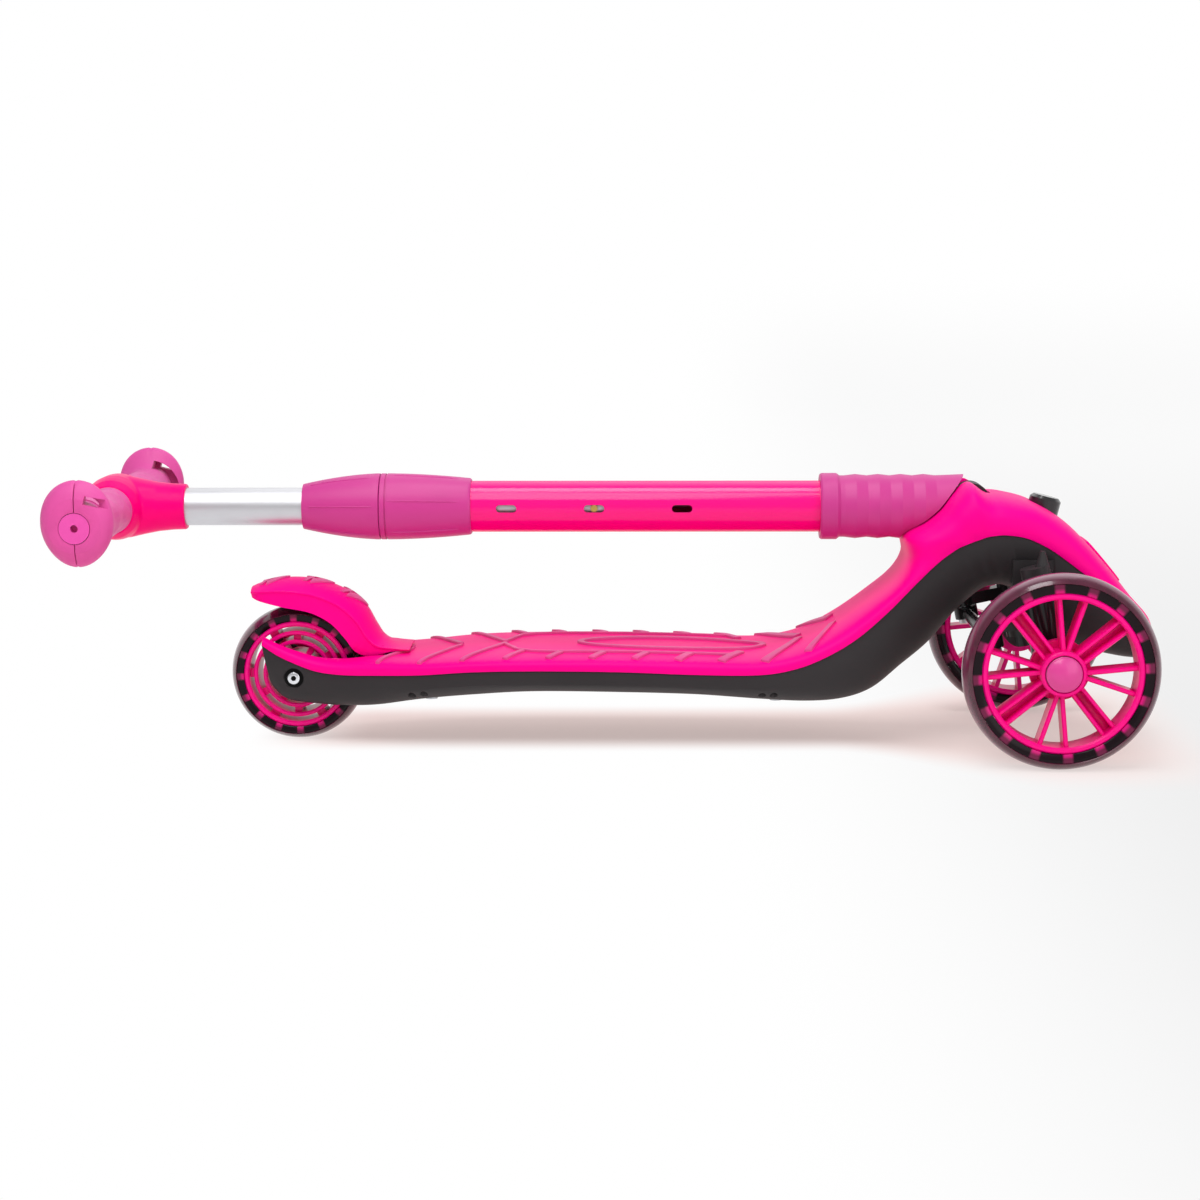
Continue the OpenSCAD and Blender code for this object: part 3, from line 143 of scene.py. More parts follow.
class Shader:
    """A node material under construction."""

    def __init__(self, name: str) -> None:
        """Start an empty material under a name."""
        self.material = bpy.data.materials.new(name)
        self.material.use_nodes = True
        self.tree = self.material.node_tree
        self.tree.nodes.clear()

    def node(self, kind: str, settings: dict[str, Any] | None = None,
             inputs: dict[str | int, Any] | None = None, output: str | int = 0) -> Wire:
        """Add one node.

        Args:
            kind: The node's type.
            settings: Its settings by name, set first.
            inputs: Values or wires by socket name or place.
            output: The output to return.

        Returns:
            The chosen output.
        """
        made = self.tree.nodes.new(kind)
        for key, value in (settings or {}).items():
            setattr(made, key, value)
        for key, value in (inputs or {}).items():
            if isinstance(value, Wire):
                self.tree.links.new(value.socket, made.inputs[key])
            else:
                made.inputs[key].default_value = value
        return Wire(self, made.outputs[output])

    def point(self) -> Wire:
        """Return the place in the object's own frame, in metres."""
        return self.node("ShaderNodeTexCoord", output="Object")

    def axes(self, centre: Point = (0.0, 0.0, 0.0)) -> tuple[Wire, ...]:
        """Split the place into millimetres from a centre.

        Args:
            centre: The centre in the frame's metres.

        Returns:
            The X, Y and Z distances in millimetres.
        """
        moved = self.node("ShaderNodeMapping", None, {
            "Vector": self.point(), "Location": [-v / MM for v in centre],
            "Scale": (1 / MM,) * 3})
        split = self.node("ShaderNodeSeparateXYZ", None, {0: moved}).socket.node
        return tuple(Wire(self, output) for output in split.outputs)

    def noise(self, size_mm: float, detail: float = 2.0, stretch: Point = (1.0, 1.0, 1.0)) -> Wire:
        """Return noise from 0 to 1 in blotches of a size, with finer layers and a squeeze."""
        place = self.node("ShaderNodeMapping", None, {"Vector": self.point(), "Scale": stretch})
        return self.node("ShaderNodeTexNoise", None, {
            "Vector": place, "Scale": 1 / (size_mm * MM), "Detail": detail, "Roughness": 0.55})

    def mix(self, share: Any, first: Any, second: Any) -> Wire:
        """Mix two colours, with the second one's share from 0 to 1."""
        return self.node("ShaderNodeMix", {"data_type": "RGBA"}, {0: share, 6: first, 7: second}, 2)

    def bump(self, height: Wire, depth_mm: float) -> Wire:
        """Return the normal bent by a height of about 0 to 1, whose 1 stands for a depth."""
        return self.node("ShaderNodeBump", None, {
            "Strength": 1.0, "Distance": depth_mm * MM, "Height": height})

    def surface(self, **inputs: Any) -> bpy.types.Material:
        """Finish with a Principled surface, given its sockets with _ for each space."""
        wires = {key.replace("_", " "): value for key, value in inputs.items()}
        return self.close(self.node("ShaderNodeBsdfPrincipled", None, wires))

    def close(self, surface: Wire) -> bpy.types.Material:
        """Send a surface to the material's output and return the material."""
        output = self.tree.nodes.new("ShaderNodeOutputMaterial")
        self.tree.links.new(surface.socket, output.inputs["Surface"])
        return self.material


def paint(*screen: int) -> Colour:
    """Turn a screen colour into the shader's linear one.

    Args:
        screen: Red, green and blue, 0 to 255.

    Returns:
        The linear colour with full alpha.
    """
    shares = [value / 255 for value in screen]
    return tuple(v / 12.92 if v <= 0.04045 else ((v + 0.055) / 1.055) ** 2.4
                 for v in shares) + (1.0,)


def shade(colour: Colour, factor: float) -> Colour:
    """Return a colour darkened or lightened by a factor."""
    return tuple(min(1.0, c * factor) for c in colour[:3]) + (1.0,)


# Finishes ---------------------------------------------------------------------------------


@dataclass(frozen=True)
class Moulded:
    """A moulded plastic or rubber with a fine spark-eroded grain and faint flow marks."""

    name: str
    colour: Colour
    roughness: float = 0.4
    grain_mm: float = 0.45
    grain_depth: float = 0.03
    flow: float = 0.06
    coat: float = 0.0
    sheen: float = 0.0
    shine: float = 0.35

    def material(self) -> bpy.types.Material:
        """Build the material."""
        s = Shader(self.name)
        flow = s.noise(45.0, 3.0, (0.5, 1.0, 1.0))
        grain = s.noise(self.grain_mm, 2.0)
        colour = s.mix(flow.ramp(0.35, 0.65), shade(self.colour, 1 - self.flow),
                       shade(self.colour, 1 + self.flow * 0.4))
        rough = self.roughness - 0.05 + 0.06 * s.noise(18.0, 3.0) + 0.06 * grain
        inputs: dict[str, Any] = {
            "Base_Color": colour, "Roughness": rough, "IOR": 1.5, "Coat_Weight": self.coat,
            "Coat_Roughness": 0.12, "Normal": s.bump(grain, self.grain_depth),
            "Specular_IOR_Level": self.shine}
        if self.sheen:
            inputs.update(Sheen_Weight=self.sheen, Sheen_Roughness=0.4)
        return s.surface(**inputs)


@dataclass(frozen=True)
class Metal:
    """A metal with fine drawn or turned lines along one axis."""

    name: str
    colour: Colour
    roughness: float
    stretch: Point = (1.0, 1.0, 1.0)
    line_mm: float = 0.35
    depth: float = 0.01
    stain: float = 0.9

    def material(self) -> bpy.types.Material:
        """Build the material."""
        s = Shader(self.name)
        lines = s.noise(self.line_mm, 3.0, self.stretch)
        stain = s.noise(14.0, 3.0).ramp(0.3, 0.75)
        colour = s.mix(stain, self.colour, shade(self.colour, self.stain))
        return s.surface(Base_Color=colour, Metallic=1.0,
                         Roughness=self.roughness - 0.06 + 0.12 * lines + 0.05 * stain,
                         Normal=s.bump(lines, self.depth))


@dataclass(frozen=True)
class Enamel:
    """A sprayed gloss coat over metal, with a faint orange-peel."""

    name: str
    colour: Colour
    roughness: float = 0.3
    peel_mm: float = 2.2
    depth: float = 0.012

    def material(self) -> bpy.types.Material:
        """Build the material."""
        s = Shader(self.name)
        peel = s.noise(self.peel_mm, 1.0)
        fleck = s.noise(0.25, 1.0)
        colour = s.mix(fleck.ramp(0.45, 0.7), self.colour, shade(self.colour, 0.93))
        return s.surface(Base_Color=colour, Roughness=self.roughness + 0.05 * fleck, IOR=1.5,
                         Specular_IOR_Level=0.0, Coat_Weight=0.6, Coat_Roughness=0.14,
                         Normal=s.bump(peel, self.depth))


@dataclass(frozen=True)
class SmokedTyre:
    """Clear smoked polyurethane with a band of dark blocks set in magenta by the rim."""

    name: str
    centre: Point
    band_low: float
    radius: float
    blocks: int
    turn: float
    # How far inside the tread the painted light of the thin clear edge starts and ends, and the
    # same for the band's magenta from its foot; then the block's edges as sines
    edge_fade: Flat = (3.2, 0.4)
    band_fade: Flat = (0.6, 3.4)
    block_edge: Flat = (-0.85, -0.4)
    glass: Colour = paint(78, 20, 46)
    # Painted light: the paler colour near the tread, for light through the thin clear edge
    edge: Colour = paint(126, 68, 94)
    deep: Colour = paint(20, 7, 14)
    magenta: Colour = paint(200, 18, 116)
    dusty: Colour = paint(104, 32, 66)

    def material(self) -> bpy.types.Material:
        """Build the clear outer material, paled near the tread by painted light."""
        s = Shader(self.name)
        x, _, z = s.axes(self.centre)
        radius = (x * x + z * z).root()
        haze = s.noise(7.0, 3.0)
        wear = s.noise(1.2, 2.0)
        # Painted light: the colour pales to the edge colour near the tread
        rim = radius.ramp(*(self.radius - inside for inside in self.edge_fade))
        colour = s.mix(haze.ramp(0.35, 0.7), self.glass, shade(self.glass, 1.35))
        return s.surface(Base_Color=s.mix(rim, colour, self.edge), IOR=1.42,
                         Roughness=0.12 + 0.08 * haze + 0.05 * wear, Transmission_Weight=0.2,
                         Coat_Weight=0.3, Coat_Roughness=0.05, Normal=s.bump(wear, 0.01))

    def core(self) -> bpy.types.Material:
        """Build the material of the block band, as seen through the clear tyre."""
        s = Shader(self.name + "_core")
        x, _, z = s.axes(self.centre)
        depth = (x * x + z * z).root().ramp(*(self.band_low + out for out in self.band_fade))
        angle = z.turn_from(x) + self.turn
        wave = (angle * float(self.blocks)).sine().ramp(*self.block_edge)
        grain = s.noise(0.8, 2.0)
        between = s.mix(depth, self.magenta, self.dusty)
        return s.surface(Base_Color=s.mix(wave, between, self.deep), IOR=1.45,
                         Roughness=0.18 + 0.1 * grain, Specular_IOR_Level=0.15, Coat_Weight=0.1,
                         Coat_Roughness=0.05, Normal=s.bump(grain, 0.01))


class Palette:
    """The scooter's finishes, each built once when it is first asked for."""

    recipes: dict[str, Any] = {recipe.name: recipe for recipe in (
        Moulded("shell_pink", paint(246, 0, 138), 0.4, 0.5, 0.02, 0.03, shine=0.05),
        Moulded("rim_pink", paint(236, 0, 130), 0.3, 0.6, 0.015, 0.06, 0.1, shine=0.16),
        Enamel("tube_pink", paint(242, 0, 128)),
        Moulded("joint_pink", paint(244, 0, 120), 0.3, 0.8, 0.01, 0.04, 0.03, shine=0.05),
        Moulded("charcoal", paint(40, 37, 39), 0.48, 0.5, 0.05, 0.10, shine=0.3),
        Moulded("sleeve_mauve", paint(192, 52, 136), 0.42, 0.5, 0.03, 0.05),
        Moulded("plug_mauve", paint(226, 78, 172), 0.45, 0.4, 0.03, 0.04),
        Moulded("cap_mauve", paint(212, 60, 146), 0.34, 0.5, 0.01, 0.04, 0.35),
        Moulded("grip_mauve", paint(214, 76, 156), 0.5, 0.4, 0.05, 0.05, sheen=0.08),
        Moulded("tread_mauve", paint(214, 62, 140), 0.5, 0.4, 0.05, 0.10, sheen=0.1),
        Moulded("black_rubber", paint(30, 30, 31), 0.65, 0.5, 0.06, 0.15, sheen=0.1),
        # Near-black used only as painted shade in the axle screws' recesses and sockets
        Moulded("pit_black", paint(10, 9, 10), 0.5, 0.5, 0.02, 0.05, shine=0.1),
        Moulded("black_gloss", paint(30, 28, 30), 0.22, 0.6, 0.02, 0.10, 0.5),
        Enamel("black_steel", paint(30, 30, 32), 0.38, 1.4, 0.02),
        Metal("silver", paint(212, 212, 216), 0.42, (0.01, 1.0, 1.0), depth=0.003, stain=0.98),
        Metal("bright_zinc", paint(232, 233, 238), 0.2, line_mm=0.6),
        Metal("zinc", paint(188, 189, 194), 0.34, line_mm=0.6, depth=0.012),
        Metal("brass", paint(206, 170, 96), 0.3, line_mm=0.5),
    )}
    made: dict[str, bpy.types.Material] = {}

    @classmethod
    def get(cls, name: str) -> bpy.types.Material:
        """Return a finish's material, made on the first call."""
        if name not in cls.made:
            cls.made[name] = cls.recipes[name].material()
        return cls.made[name]


# Mesh building ----------------------------------------------------------------------------


def curve(a: Row, b: Row, c: Row, d: Row, t: float) -> Row:
    """Return the row at a share t between b and c on the smooth curve through four rows."""
    return [0.5 * (2 * q + (r - p) * t + (2 * p - 5 * q + 4 * r - s) * t * t
                   + (3 * q - p - 3 * r + s) * t ** 3) for p, q, r, s in zip(a, b, c, d)]


def smooth(rows: Sequence[Row], steps: int) -> list[Row]:
    """Thicken a table of rows with points on the smooth curve through them.

    Args:
        rows: The rows to pass through.
        steps: The number of pieces between two rows.

    Returns:
        The longer table.
    """
    last = len(rows) - 1
    fine = [curve(rows[max(i - 1, 0)], rows[i], rows[i + 1], rows[min(i + 2, last)], k / steps)
            for i in range(last) for k in range(steps)]
    return fine + [list(rows[last])]


def arch(width: float, height: float, square: float, count: int) -> list[Flat]:
    """Return half a rounded rectangle from its right foot over the top to its left foot.

    Args:
        width: Its half-width.
        height: Its height.
        square: How square its corners are; 2 is an ellipse.
        count: The number of pieces.

    Returns:
        Points as across, up.
    """
    points = []
    for j in range(count + 1):
        angle = math.pi * j / count
        c, s = math.cos(angle), math.sin(angle)
        points.append((-width * math.copysign(abs(c) ** (2 / square), c),
                       height * abs(s) ** (2 / square)))
    return points


def circle(radius: float, count: int, x: float = 0.0, y: float = 0.0,
           turn: float = 0.0) -> list[Flat]:
    """Return an anticlockwise circle.

    Args:
        radius: Its radius.
        count: The number of its points.
        x: Its centre along X.
        y: Its centre along Y.
        turn: The first point's angle in degrees.

    Returns:
        Its points.
    """
    angles = [math.radians(turn) + math.tau * i / count for i in range(count)]
    return [(x + radius * math.cos(a), y + radius * math.sin(a)) for a in angles]


def stand(outline: Iterable[Flat], low: Sequence[float], high: Sequence[float]) -> Ring:
    """Stand an outline up on a line in the XZ plane.

    Args:
        outline: Points as across, up.
        low: The line's foot as x, z.
        high: The line's head as x, z.

    Returns:
        The ring of points.
    """
    length = math.hypot(high[0] - low[0], high[1] - low[1])
    ux, uz = (high[0] - low[0]) / length, (high[1] - low[1]) / length
    return [(low[0] + ux * up, out, low[1] + uz * up) for out, up in outline]


def frame_at(x: float, y: float, z: float, degrees: float, axis: str) -> Matrix:
    """Return the frame at a place, turned about one of its axes."""
    return Matrix.Translation((x, y, z)) @ Matrix.Rotation(math.radians(degrees), 4, axis)


def across(x: float, z: float, y: float = 0.0) -> Matrix:
    """Return the frame whose Z runs to the scooter's left."""
    return frame_at(x, y, z, -90, "X")


def along(x: float, z: float) -> Matrix:
    """Return the frame whose Z runs forward."""
    return frame_at(x, 0, z, 90, "Y")


class Sketch:
    """The points and faces of one piece, in millimetres from the rear axle.

    The methods that add to it return it, so that calls can follow each other.
    """

    def __init__(self) -> None:
        """Start an empty piece."""
        self.points: list[Point] = []
        self.faces: list[tuple[int, ...]] = []

    def add(self, points: Iterable[Point], faces: Iterable[Sequence[int]],
            place: Matrix | None = None) -> "Sketch":
        """Add points and the faces that join them.

        Args:
            points: The new points.
            faces: Faces as places in the new points.
            place: A frame to set the points in.

        Returns:
            This sketch.
        """
        start = len(self.points)
        self.points += [tuple(place @ Vector(p)) if place else tuple(p) for p in points]
        self.faces += [tuple(start + i for i in face) for face in faces]
        return self

    def loft(self, rings: Sequence[Ring], place: Matrix | None = None, closed: bool = True,
             capped: bool = True, wall: bool = False) -> "Sketch":
        """Join equal rings of points.

        Args:
            rings: The rings in order.
            place: A frame to set the points in.
            closed: Whether each ring joins its own ends.
            capped: Whether the first and last ring are filled.
            wall: Whether a ring is a line out and back along a wall, which caps as a strip.

        Returns:
            This sketch.
        """
        count, last = len(rings[0]), len(rings) - 1
        faces: list[tuple[int, ...]] = []
        for i in range(last):
            a, b = i * count, (i + 1) * count
            for j in range(count if closed else count - 1):
                k = (j + 1) % count
                faces.append((a + j, a + k, b + k, b + j))
        if capped and wall:
            for base, turn in ((0, 1), (last * count, -1)):
                far = base + count - 1
                for j in range(count // 2 - 1):
                    faces.append((base + j, far - j, far - j - 1, base + j + 1)[::turn])
        elif capped:
            faces.append(tuple(range(count))[::-1])
            faces.append(tuple(last * count + j for j in range(count)))
        return self.add([p for ring in rings for p in ring], faces, place)

    def revolve(self, profile: Sequence[Flat], place: Matrix, steps: int = 96,
                closed: bool = True) -> "Sketch":
        """Turn a profile about the frame's Z.

        Args:
            profile: Points as radius, height, anticlockwise seen with the radius to the right.
            place: The frame to turn in.
            steps: The number of pieces round.
            closed: Whether the profile's ends join; otherwise they lie on the axis.

        Returns:
            This sketch.
        """
        count = len(profile)
        points: list[Point] = []
        faces: list[tuple[int, ...]] = []
        for i in range(steps):
            c, s = math.cos(math.tau * i / steps), math.sin(math.tau * i / steps)
            points += [(r * c, r * s, h) for r, h in profile]
            a, b = i * count, ((i + 1) % steps) * count
            for j in range(count if closed else count - 1):
                k = (j + 1) % count
                faces.append((a + j, b + j, b + k, a + k))
        return self.add(points, faces, place)

    def rod(self, radius: float, low: float, high: float, place: Matrix,
            steps: int = 64) -> "Sketch":
        """Add a plain round bar along the frame's Z, from one height to another."""
        profile = [(0.0, low), (radius, low), (radius, high), (0.0, high)]
        return self.revolve(profile, place, steps, closed=False)

    def prism(self, outline: Sequence[Flat], low: float, high: float, place: Matrix) -> "Sketch":
        """Raise an anticlockwise outline along the frame's Z, from one height to another."""
        return self.loft([[(x, y, h) for x, y in outline] for h in (low, high)], place)

    def block(self, low: Point, high: Point) -> "Sketch":
        """Add a plain block between two corners, for cutting with."""
        outline = [(low[0], low[1]), (high[0], low[1]), (high[0], high[1]), (low[0], high[1])]
        return self.prism(outline, low[2], high[2], Matrix())

    def build(self, name: str, finish: str | bpy.types.Material = "",
              crease: float = CREASE) -> bpy.types.Object:
        """Make the piece's object, in the frame's metres.

        Args:
            name: The object's name.
            finish: Its material, or its name in the palette; a cutter has none.
            crease: Edges sharper than this many degrees stay sharp.

        Returns:
            The object, placed by its mesh.
        """
        mesh = bpy.data.meshes.new(name)
        places = [((x + FRAME_X) * MM, y * MM, z * MM) for x, y, z in self.points]
        mesh.from_pydata(places, [], self.faces)
        if finish:
            mesh.materials.append(Palette.get(finish) if isinstance(finish, str) else finish)
        weld(mesh, crease)
        made = bpy.data.objects.new(name, mesh)
        bpy.context.scene.collection.objects.link(made)
        return made


def weld(mesh: bpy.types.Mesh, crease: float) -> None:
    """Merge doubles, face the surface outward and shade it smooth between its sharp edges.

    Args:
        mesh: The mesh to finish.
        crease: Edges sharper than this many degrees stay sharp.
    """
    shape = bmesh.new()
    shape.from_mesh(mesh)
    bmesh.ops.remove_doubles(shape, verts=shape.verts, dist=1e-6)
    bmesh.ops.dissolve_degenerate(shape, dist=1e-7, edges=shape.edges)
    bmesh.ops.recalc_face_normals(shape, faces=shape.faces)
    limit = math.radians(crease)
    for edge in shape.edges:
        edge.smooth = len(edge.link_faces) == 2 and edge.calc_face_angle(0.0) < limit
    for face in shape.faces:
        face.smooth = True
    shape.to_mesh(mesh)
    shape.free()


def settle(made: bpy.types.Object, crease: float | None = CREASE) -> bpy.types.Object:
    """Turn an object's modifiers into a plain mesh.

    Args:
        made: The object.
        crease: The sharp-edge limit in degrees, or None to keep the edges as they are.

    Returns:
        The same object.
    """
    bpy.context.view_layer.update()
    seen = made.evaluated_get(bpy.context.evaluated_depsgraph_get())
    mesh = bpy.data.meshes.new_from_object(seen)
    made.modifiers.clear()
    made.data = mesh
    if crease is not None:
        weld(mesh, crease)
    return made


def carve(made: bpy.types.Object, cutters: Iterable[Sketch], mode: Cut = Cut.AWAY,
          crease: float | None = CREASE) -> None:
    """Cut shapes out of an object, add them to it or keep what they share with it.

    Args:
        made: The object to cut.
        cutters: The shapes.
        mode: Whether to cut away, add or keep.
        crease: The sharp-edge limit in degrees, or None to keep the edges as they are.
    """
    tools = []
    for i, cutter in enumerate(cutters):
        tool = cutter.build(f"{made.name}_cut{i}")
        tools.append(tool)
        step = made.modifiers.new(f"cut{i}", "BOOLEAN")
        step.operation, step.object, step.solver = mode.value, tool, "EXACT"
    settle(made, crease)
    for tool in tools:
        bpy.data.objects.remove(tool, do_unlink=True)


def soften(made: bpy.types.Object, width_mm: float, segments: int = 2,
           limit: float = CREASE) -> None:
    """Round an object's sharp edges.

    Args:
        made: The object.
        width_mm: The width of the rounding.
        segments: The number of faces across it.
        limit: The angle in degrees from which an edge counts as sharp.
    """
    step = made.modifiers.new("round", "BEVEL")
    step.width, step.segments, step.limit_method = width_mm * MM, segments, "ANGLE"
    step.angle_limit, step.use_clamp_overlap = math.radians(limit), True
    settle(made, 40.0)


def join(made: bpy.types.Object, part: bpy.types.Object) -> None:
    """Move a part's mesh into another object and remove the part."""
    shape = bmesh.new()
    shape.from_mesh(made.data)
    shape.from_mesh(part.data)
    shape.to_mesh(made.data)
    shape.free()
    bpy.data.objects.remove(part, do_unlink=True)


def dress(finish: str, *nodes: str) -> None:
    """Give carried-over nodes one of the palette's finishes."""
    for node in nodes:
        mesh = bpy.data.objects[node].data
        mesh.materials.clear()
        mesh.materials.append(Palette.get(finish))


# Deck and body ----------------------------------------------------------------------------


class Station(NamedTuple):
    """One section of the deck's body: where its three lines run and how it is shaped.

    The width goes from the fork's at 0 to the deck's widest at 1; a squareness of 2 is round.
    """

    seam_x: float
    seam_z: float
    crown_x: float
    crown_z: float
    belly_x: float
    belly_z: float
    width: float
    square: float

    @property
    def seam(self) -> Flat:
        """Return the place of the shells' seam."""
        return self[0:2]

    @property
    def crown(self) -> Flat:
        """Return the place of the top shell's highest line."""
        return self[2:4]

    @property
    def belly(self) -> Flat:
        """Return the place of the under-shell's lowest line."""
        return self[4:6]


@dataclass
class Deck:
    """The pink top shell, the charcoal under-shell, the tread and what is screwed to them."""

    wheelbase: float = 494.0
    half_width: float = 64.0
    fork_half: float = 29.5
    skin: float = 3.0
    lip_inset: float = 0.6
    well_half: float = 23.5
    well_front: float = 62.0
    lock_r: float = 10.9
    lock_lean: float = 14.0
    hinge_slot: tuple[Point, Point] = ((400, -11.6, 149.3), (459.7, 11.6, 200))
    # The axle screw's recess and its screw, washer of painted shade and hexagon, as radius, height
    recess: tuple[Flat, ...] = ((6.9, 30.0), (6.9, -1.6), (5.9, -2.6), (0.0, -2.6), (0.0, 30.0))
    screw: tuple[Flat, ...] = ((0.0, -11.9), (2.4, -11.9), (2.4, 0.1), (4.2, 0.1), (4.2, 1.5),
                               (3.9, 2.0), (3.3, 2.3), (0.0, 2.3))
    washer: tuple[Flat, ...] = ((4.3, 0.05), (7.2, 0.05), (7.2, 0.5), (4.3, 0.5))
    socket_r: float = 1.9
    track_half: float = 104.0
    axle_z: float = 45.0
    front_axle_z: float = 62.5
    bead_high: float = 5.2
    bead_proud: float = 0.45
    # How far the under-shell's lower sides lean in, and its crease's greatest height
    tray_lean: float = 0.11
    tray_crease: float = 9.0
    # The screw pockets' centres on the left side, their radius and their foot and head
    pockets: tuple[Flat, ...] = ((80.3, 49.5), (88.3, 52.0), (308.4, 54.6), (315.9, 54.2))
    pocket_r: float = 2.6
    pocket_z: Flat = (22.0, 42.7)
    # Each tread bar: its foot and head from the middle, and its width; then the first bar's X,
    # the step to the next, the slant, the rail and the plain oval
    bars: tuple[Point, ...] = (
        (44, 3, 3.4), (53, 3, 3.6), (57, 3, 3.8), (58, 36, 4.4), (58, 42, 4.8), (58, 42, 5.2),
        (58, 42, 5.6), (58, 41, 6.0), (57, 29, 6.4), (56, 5, 6.8), (52, 14, 6.0))
    bar_x: float = 57.0
    bar_step: float = 28.1
    bar_slant: float = 0.48
    rail: tuple[Flat, ...] = ((138, 4), (148, 30), (158, 37), (172, 40), (291, 40))
    rail_w: float = 3.0
    oval_x: float = 250.0
    oval_half: Flat = (61.0, 22.0)
    oval_w: float = 5.0
    rib_high: float = 1.6
    # The nose cover's half-length, half-width and corner
    cover: Point = (17.0, 18.0, 5.0)
    fine: int = 6
    arc: int = 40
    # The stations' values, with X and Z measured from the rear axle
    tail: list[Row] = field(default_factory=lambda: [
        [-21, 22, -20, 27, -15, -9.5, 0, 5], [-11, 15.5, -10, 22, -8.5, -16.7, 0.035, 5],
        [1, 10, 2, 17.5, 1, -19, 0.072, 5], [16, 5, 16, 13.5, 16, -19.8, 0.128, 5],
        [34, 3.5, 34, 12.5, 34, -20, 0.258, 5], [56, 4.5, 56, 14.5, 56, -18.5, 0.481, 5],
        [86, 6.5, 86, 15.5, 86, -13.2, 0.777, 5], [120, 9.5, 120, 18, 120, -9.5, 0.944, 5],
        [160, 10.5, 160, 19, 160, -7, 1, 5], [215, 10, 215, 19, 215, -7.5, 1, 5],
        [265, 8, 265, 18, 265, -9, 0.963, 5]])
    # The same, measured from the front axles
    head: list[Row] = field(default_factory=lambda: [
        [-188, -10, -190, -0.5, -186, -30, 0.907, 5],
        [-164, -6.5, -168, 2.5, -155, -32, 0.833, 4.6],
        [-144, 1, -150.5, 9, -131, -30.5, 0.759, 4.2],
        [-124, 12.5, -132.5, 20, -112, -24, 0.666, 3.8],
        [-104, 29.5, -114.5, 33, -94, -9.5, 0.592, 3.6],
        [-87, 46.5, -97.5, 47, -75.5, 6, 0.518, 3.6],
        [-72, 61, -90, 61, -59.5, 25, 0.481, 3.8], [-60, 70, -91, 75.5, -47, 36.5, 0.481, 4],
        [-54, 73, -78, 84.5, -42, 40.5, 0.499, 3.7], [-49, 75, -68, 93, -38, 42.5, 0.499, 3.7],
        [-45, 76.5, -60, 103, -34, 43.5, 0.518, 3.6], [-41, 78, -50, 111, -30, 44, 0.518, 3.5],
        [-36, 79, -38, 104, -26, 43.5, 0.536, 3.4], [-28, 79.5, -26, 102.5, -20, 40.5, 0.555, 3.4],
        [-15, 77.5, -7, 97.5, -12, 25.5, 0.573, 3.6], [-1, 71, 12, 86.5, 0, 11.5, 0.592, 3.4],
        [12, 62, 27, 72.5, 14, 4.5, 0.61, 3.4], [27, 50.5, 43, 54.3, 29, 1, 0.61, 3.4],
        [42, 37, 56.5, 37.3, 43, -2, 0.573, 3.4], [54, 22.5, 68.5, 23.5, 53, -3.7, 0.499, 3.4],
        [61, 7.5, 72.5, 11.5, 60, -4, 0.406, 3.4]])

    def __post_init__(self) -> None:
        """Work out the fine stations along the body."""
        moved = [[a + b for a, b in zip(row, (x, z, x, z, x, z, 0, 0))]
                 for part, x, z in ((self.tail, 0.0, self.axle_z),
                                    (self.head, self.wheelbase, self.front_axle_z))
                 for row in part]
        self.stations = [Station(*row) for row in smooth(moved, self.fine)]

    def half(self, s: Station) -> float:
        """Return the body's half-width at a station."""
        return self.fork_half + s.width * (self.half_width - self.fork_half)

    def build(self) -> None:
        """Build and dress every piece of the deck body."""
        self.top_shell()
        self.under_shell()
        self.treads()
        self.nose_panel()
        dress("zinc", "shell_screws", "bracket_screws", "fold_pin", "rear_axle", "rear_spacers",
              "fender_pin", "steering_springs", "fender_spring", "lock_spring", "fold_bracket")
        self.axle_screws()
        dress("charcoal", "kingpin_beam")
        dress("black_steel", "kingpins")
        LOG.info("deck: shells, treads, nose panel and fittings dressed")

    def outline(self, s: Station, lift: float = 0.0, inset: float = 0.0) -> list[Flat]:
        """Return the top shell's outline, with its crown raised and its sides drawn in."""
        height = math.dist(s.seam, s.crown) + lift
        return arch(self.half(s) - inset, height, s.square, self.arc)

    def crown(self, s: Station, lift: float = 0.0, inset: float = 0.0) -> Ring:
        """Return the top shell's outline stood up at its station."""
        return stand(self.outline(s, lift, inset), s.seam, s.crown)

    def beaded(self, s: Station) -> Ring:
        """Return the outer ring at a station, with the rolled bead along its lower edge."""
        points = []
        for wide, up in self.outline(s):
            band = max(0.0, min(1.0, (self.bead_high + 0.8 - up) / 0.8))
            foot = max(0.0, 1 - up / 0.9)
            proud = self.bead_proud * band - 0.7 * foot ** 2
            points.append((wide + math.copysign(proud, wide) * (abs(wide) > 5), up))
        return stand(points, s.seam, s.crown)

    def well(self) -> Sketch:
        """Return the room for the rear wheel."""
        return Sketch().block((-100, -self.well_half, 0), (self.well_front, self.well_half, 120))

    def top_shell(self) -> None:
        """Build the pink shell with its lip bead, hinge slot and button hole."""
        shell = Sketch().loft([self.beaded(s) + self.crown(s, -self.skin, self.skin)[::-1]
                               for s in self.stations], wall=True)
        slot = Sketch().block(*self.hinge_slot)
        lean = frame_at(self.wheelbase + 2, 0, 155, self.lock_lean, "Y")
        hole = Sketch().prism(circle(self.lock_r, 64), -16, 24, lean)
        made = shell.build("top_shell", "shell_pink")
        carve(made, [self.well(), slot, hole])
        soften(made, 0.5)
        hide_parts("deck_shell")
        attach(made, "deck")

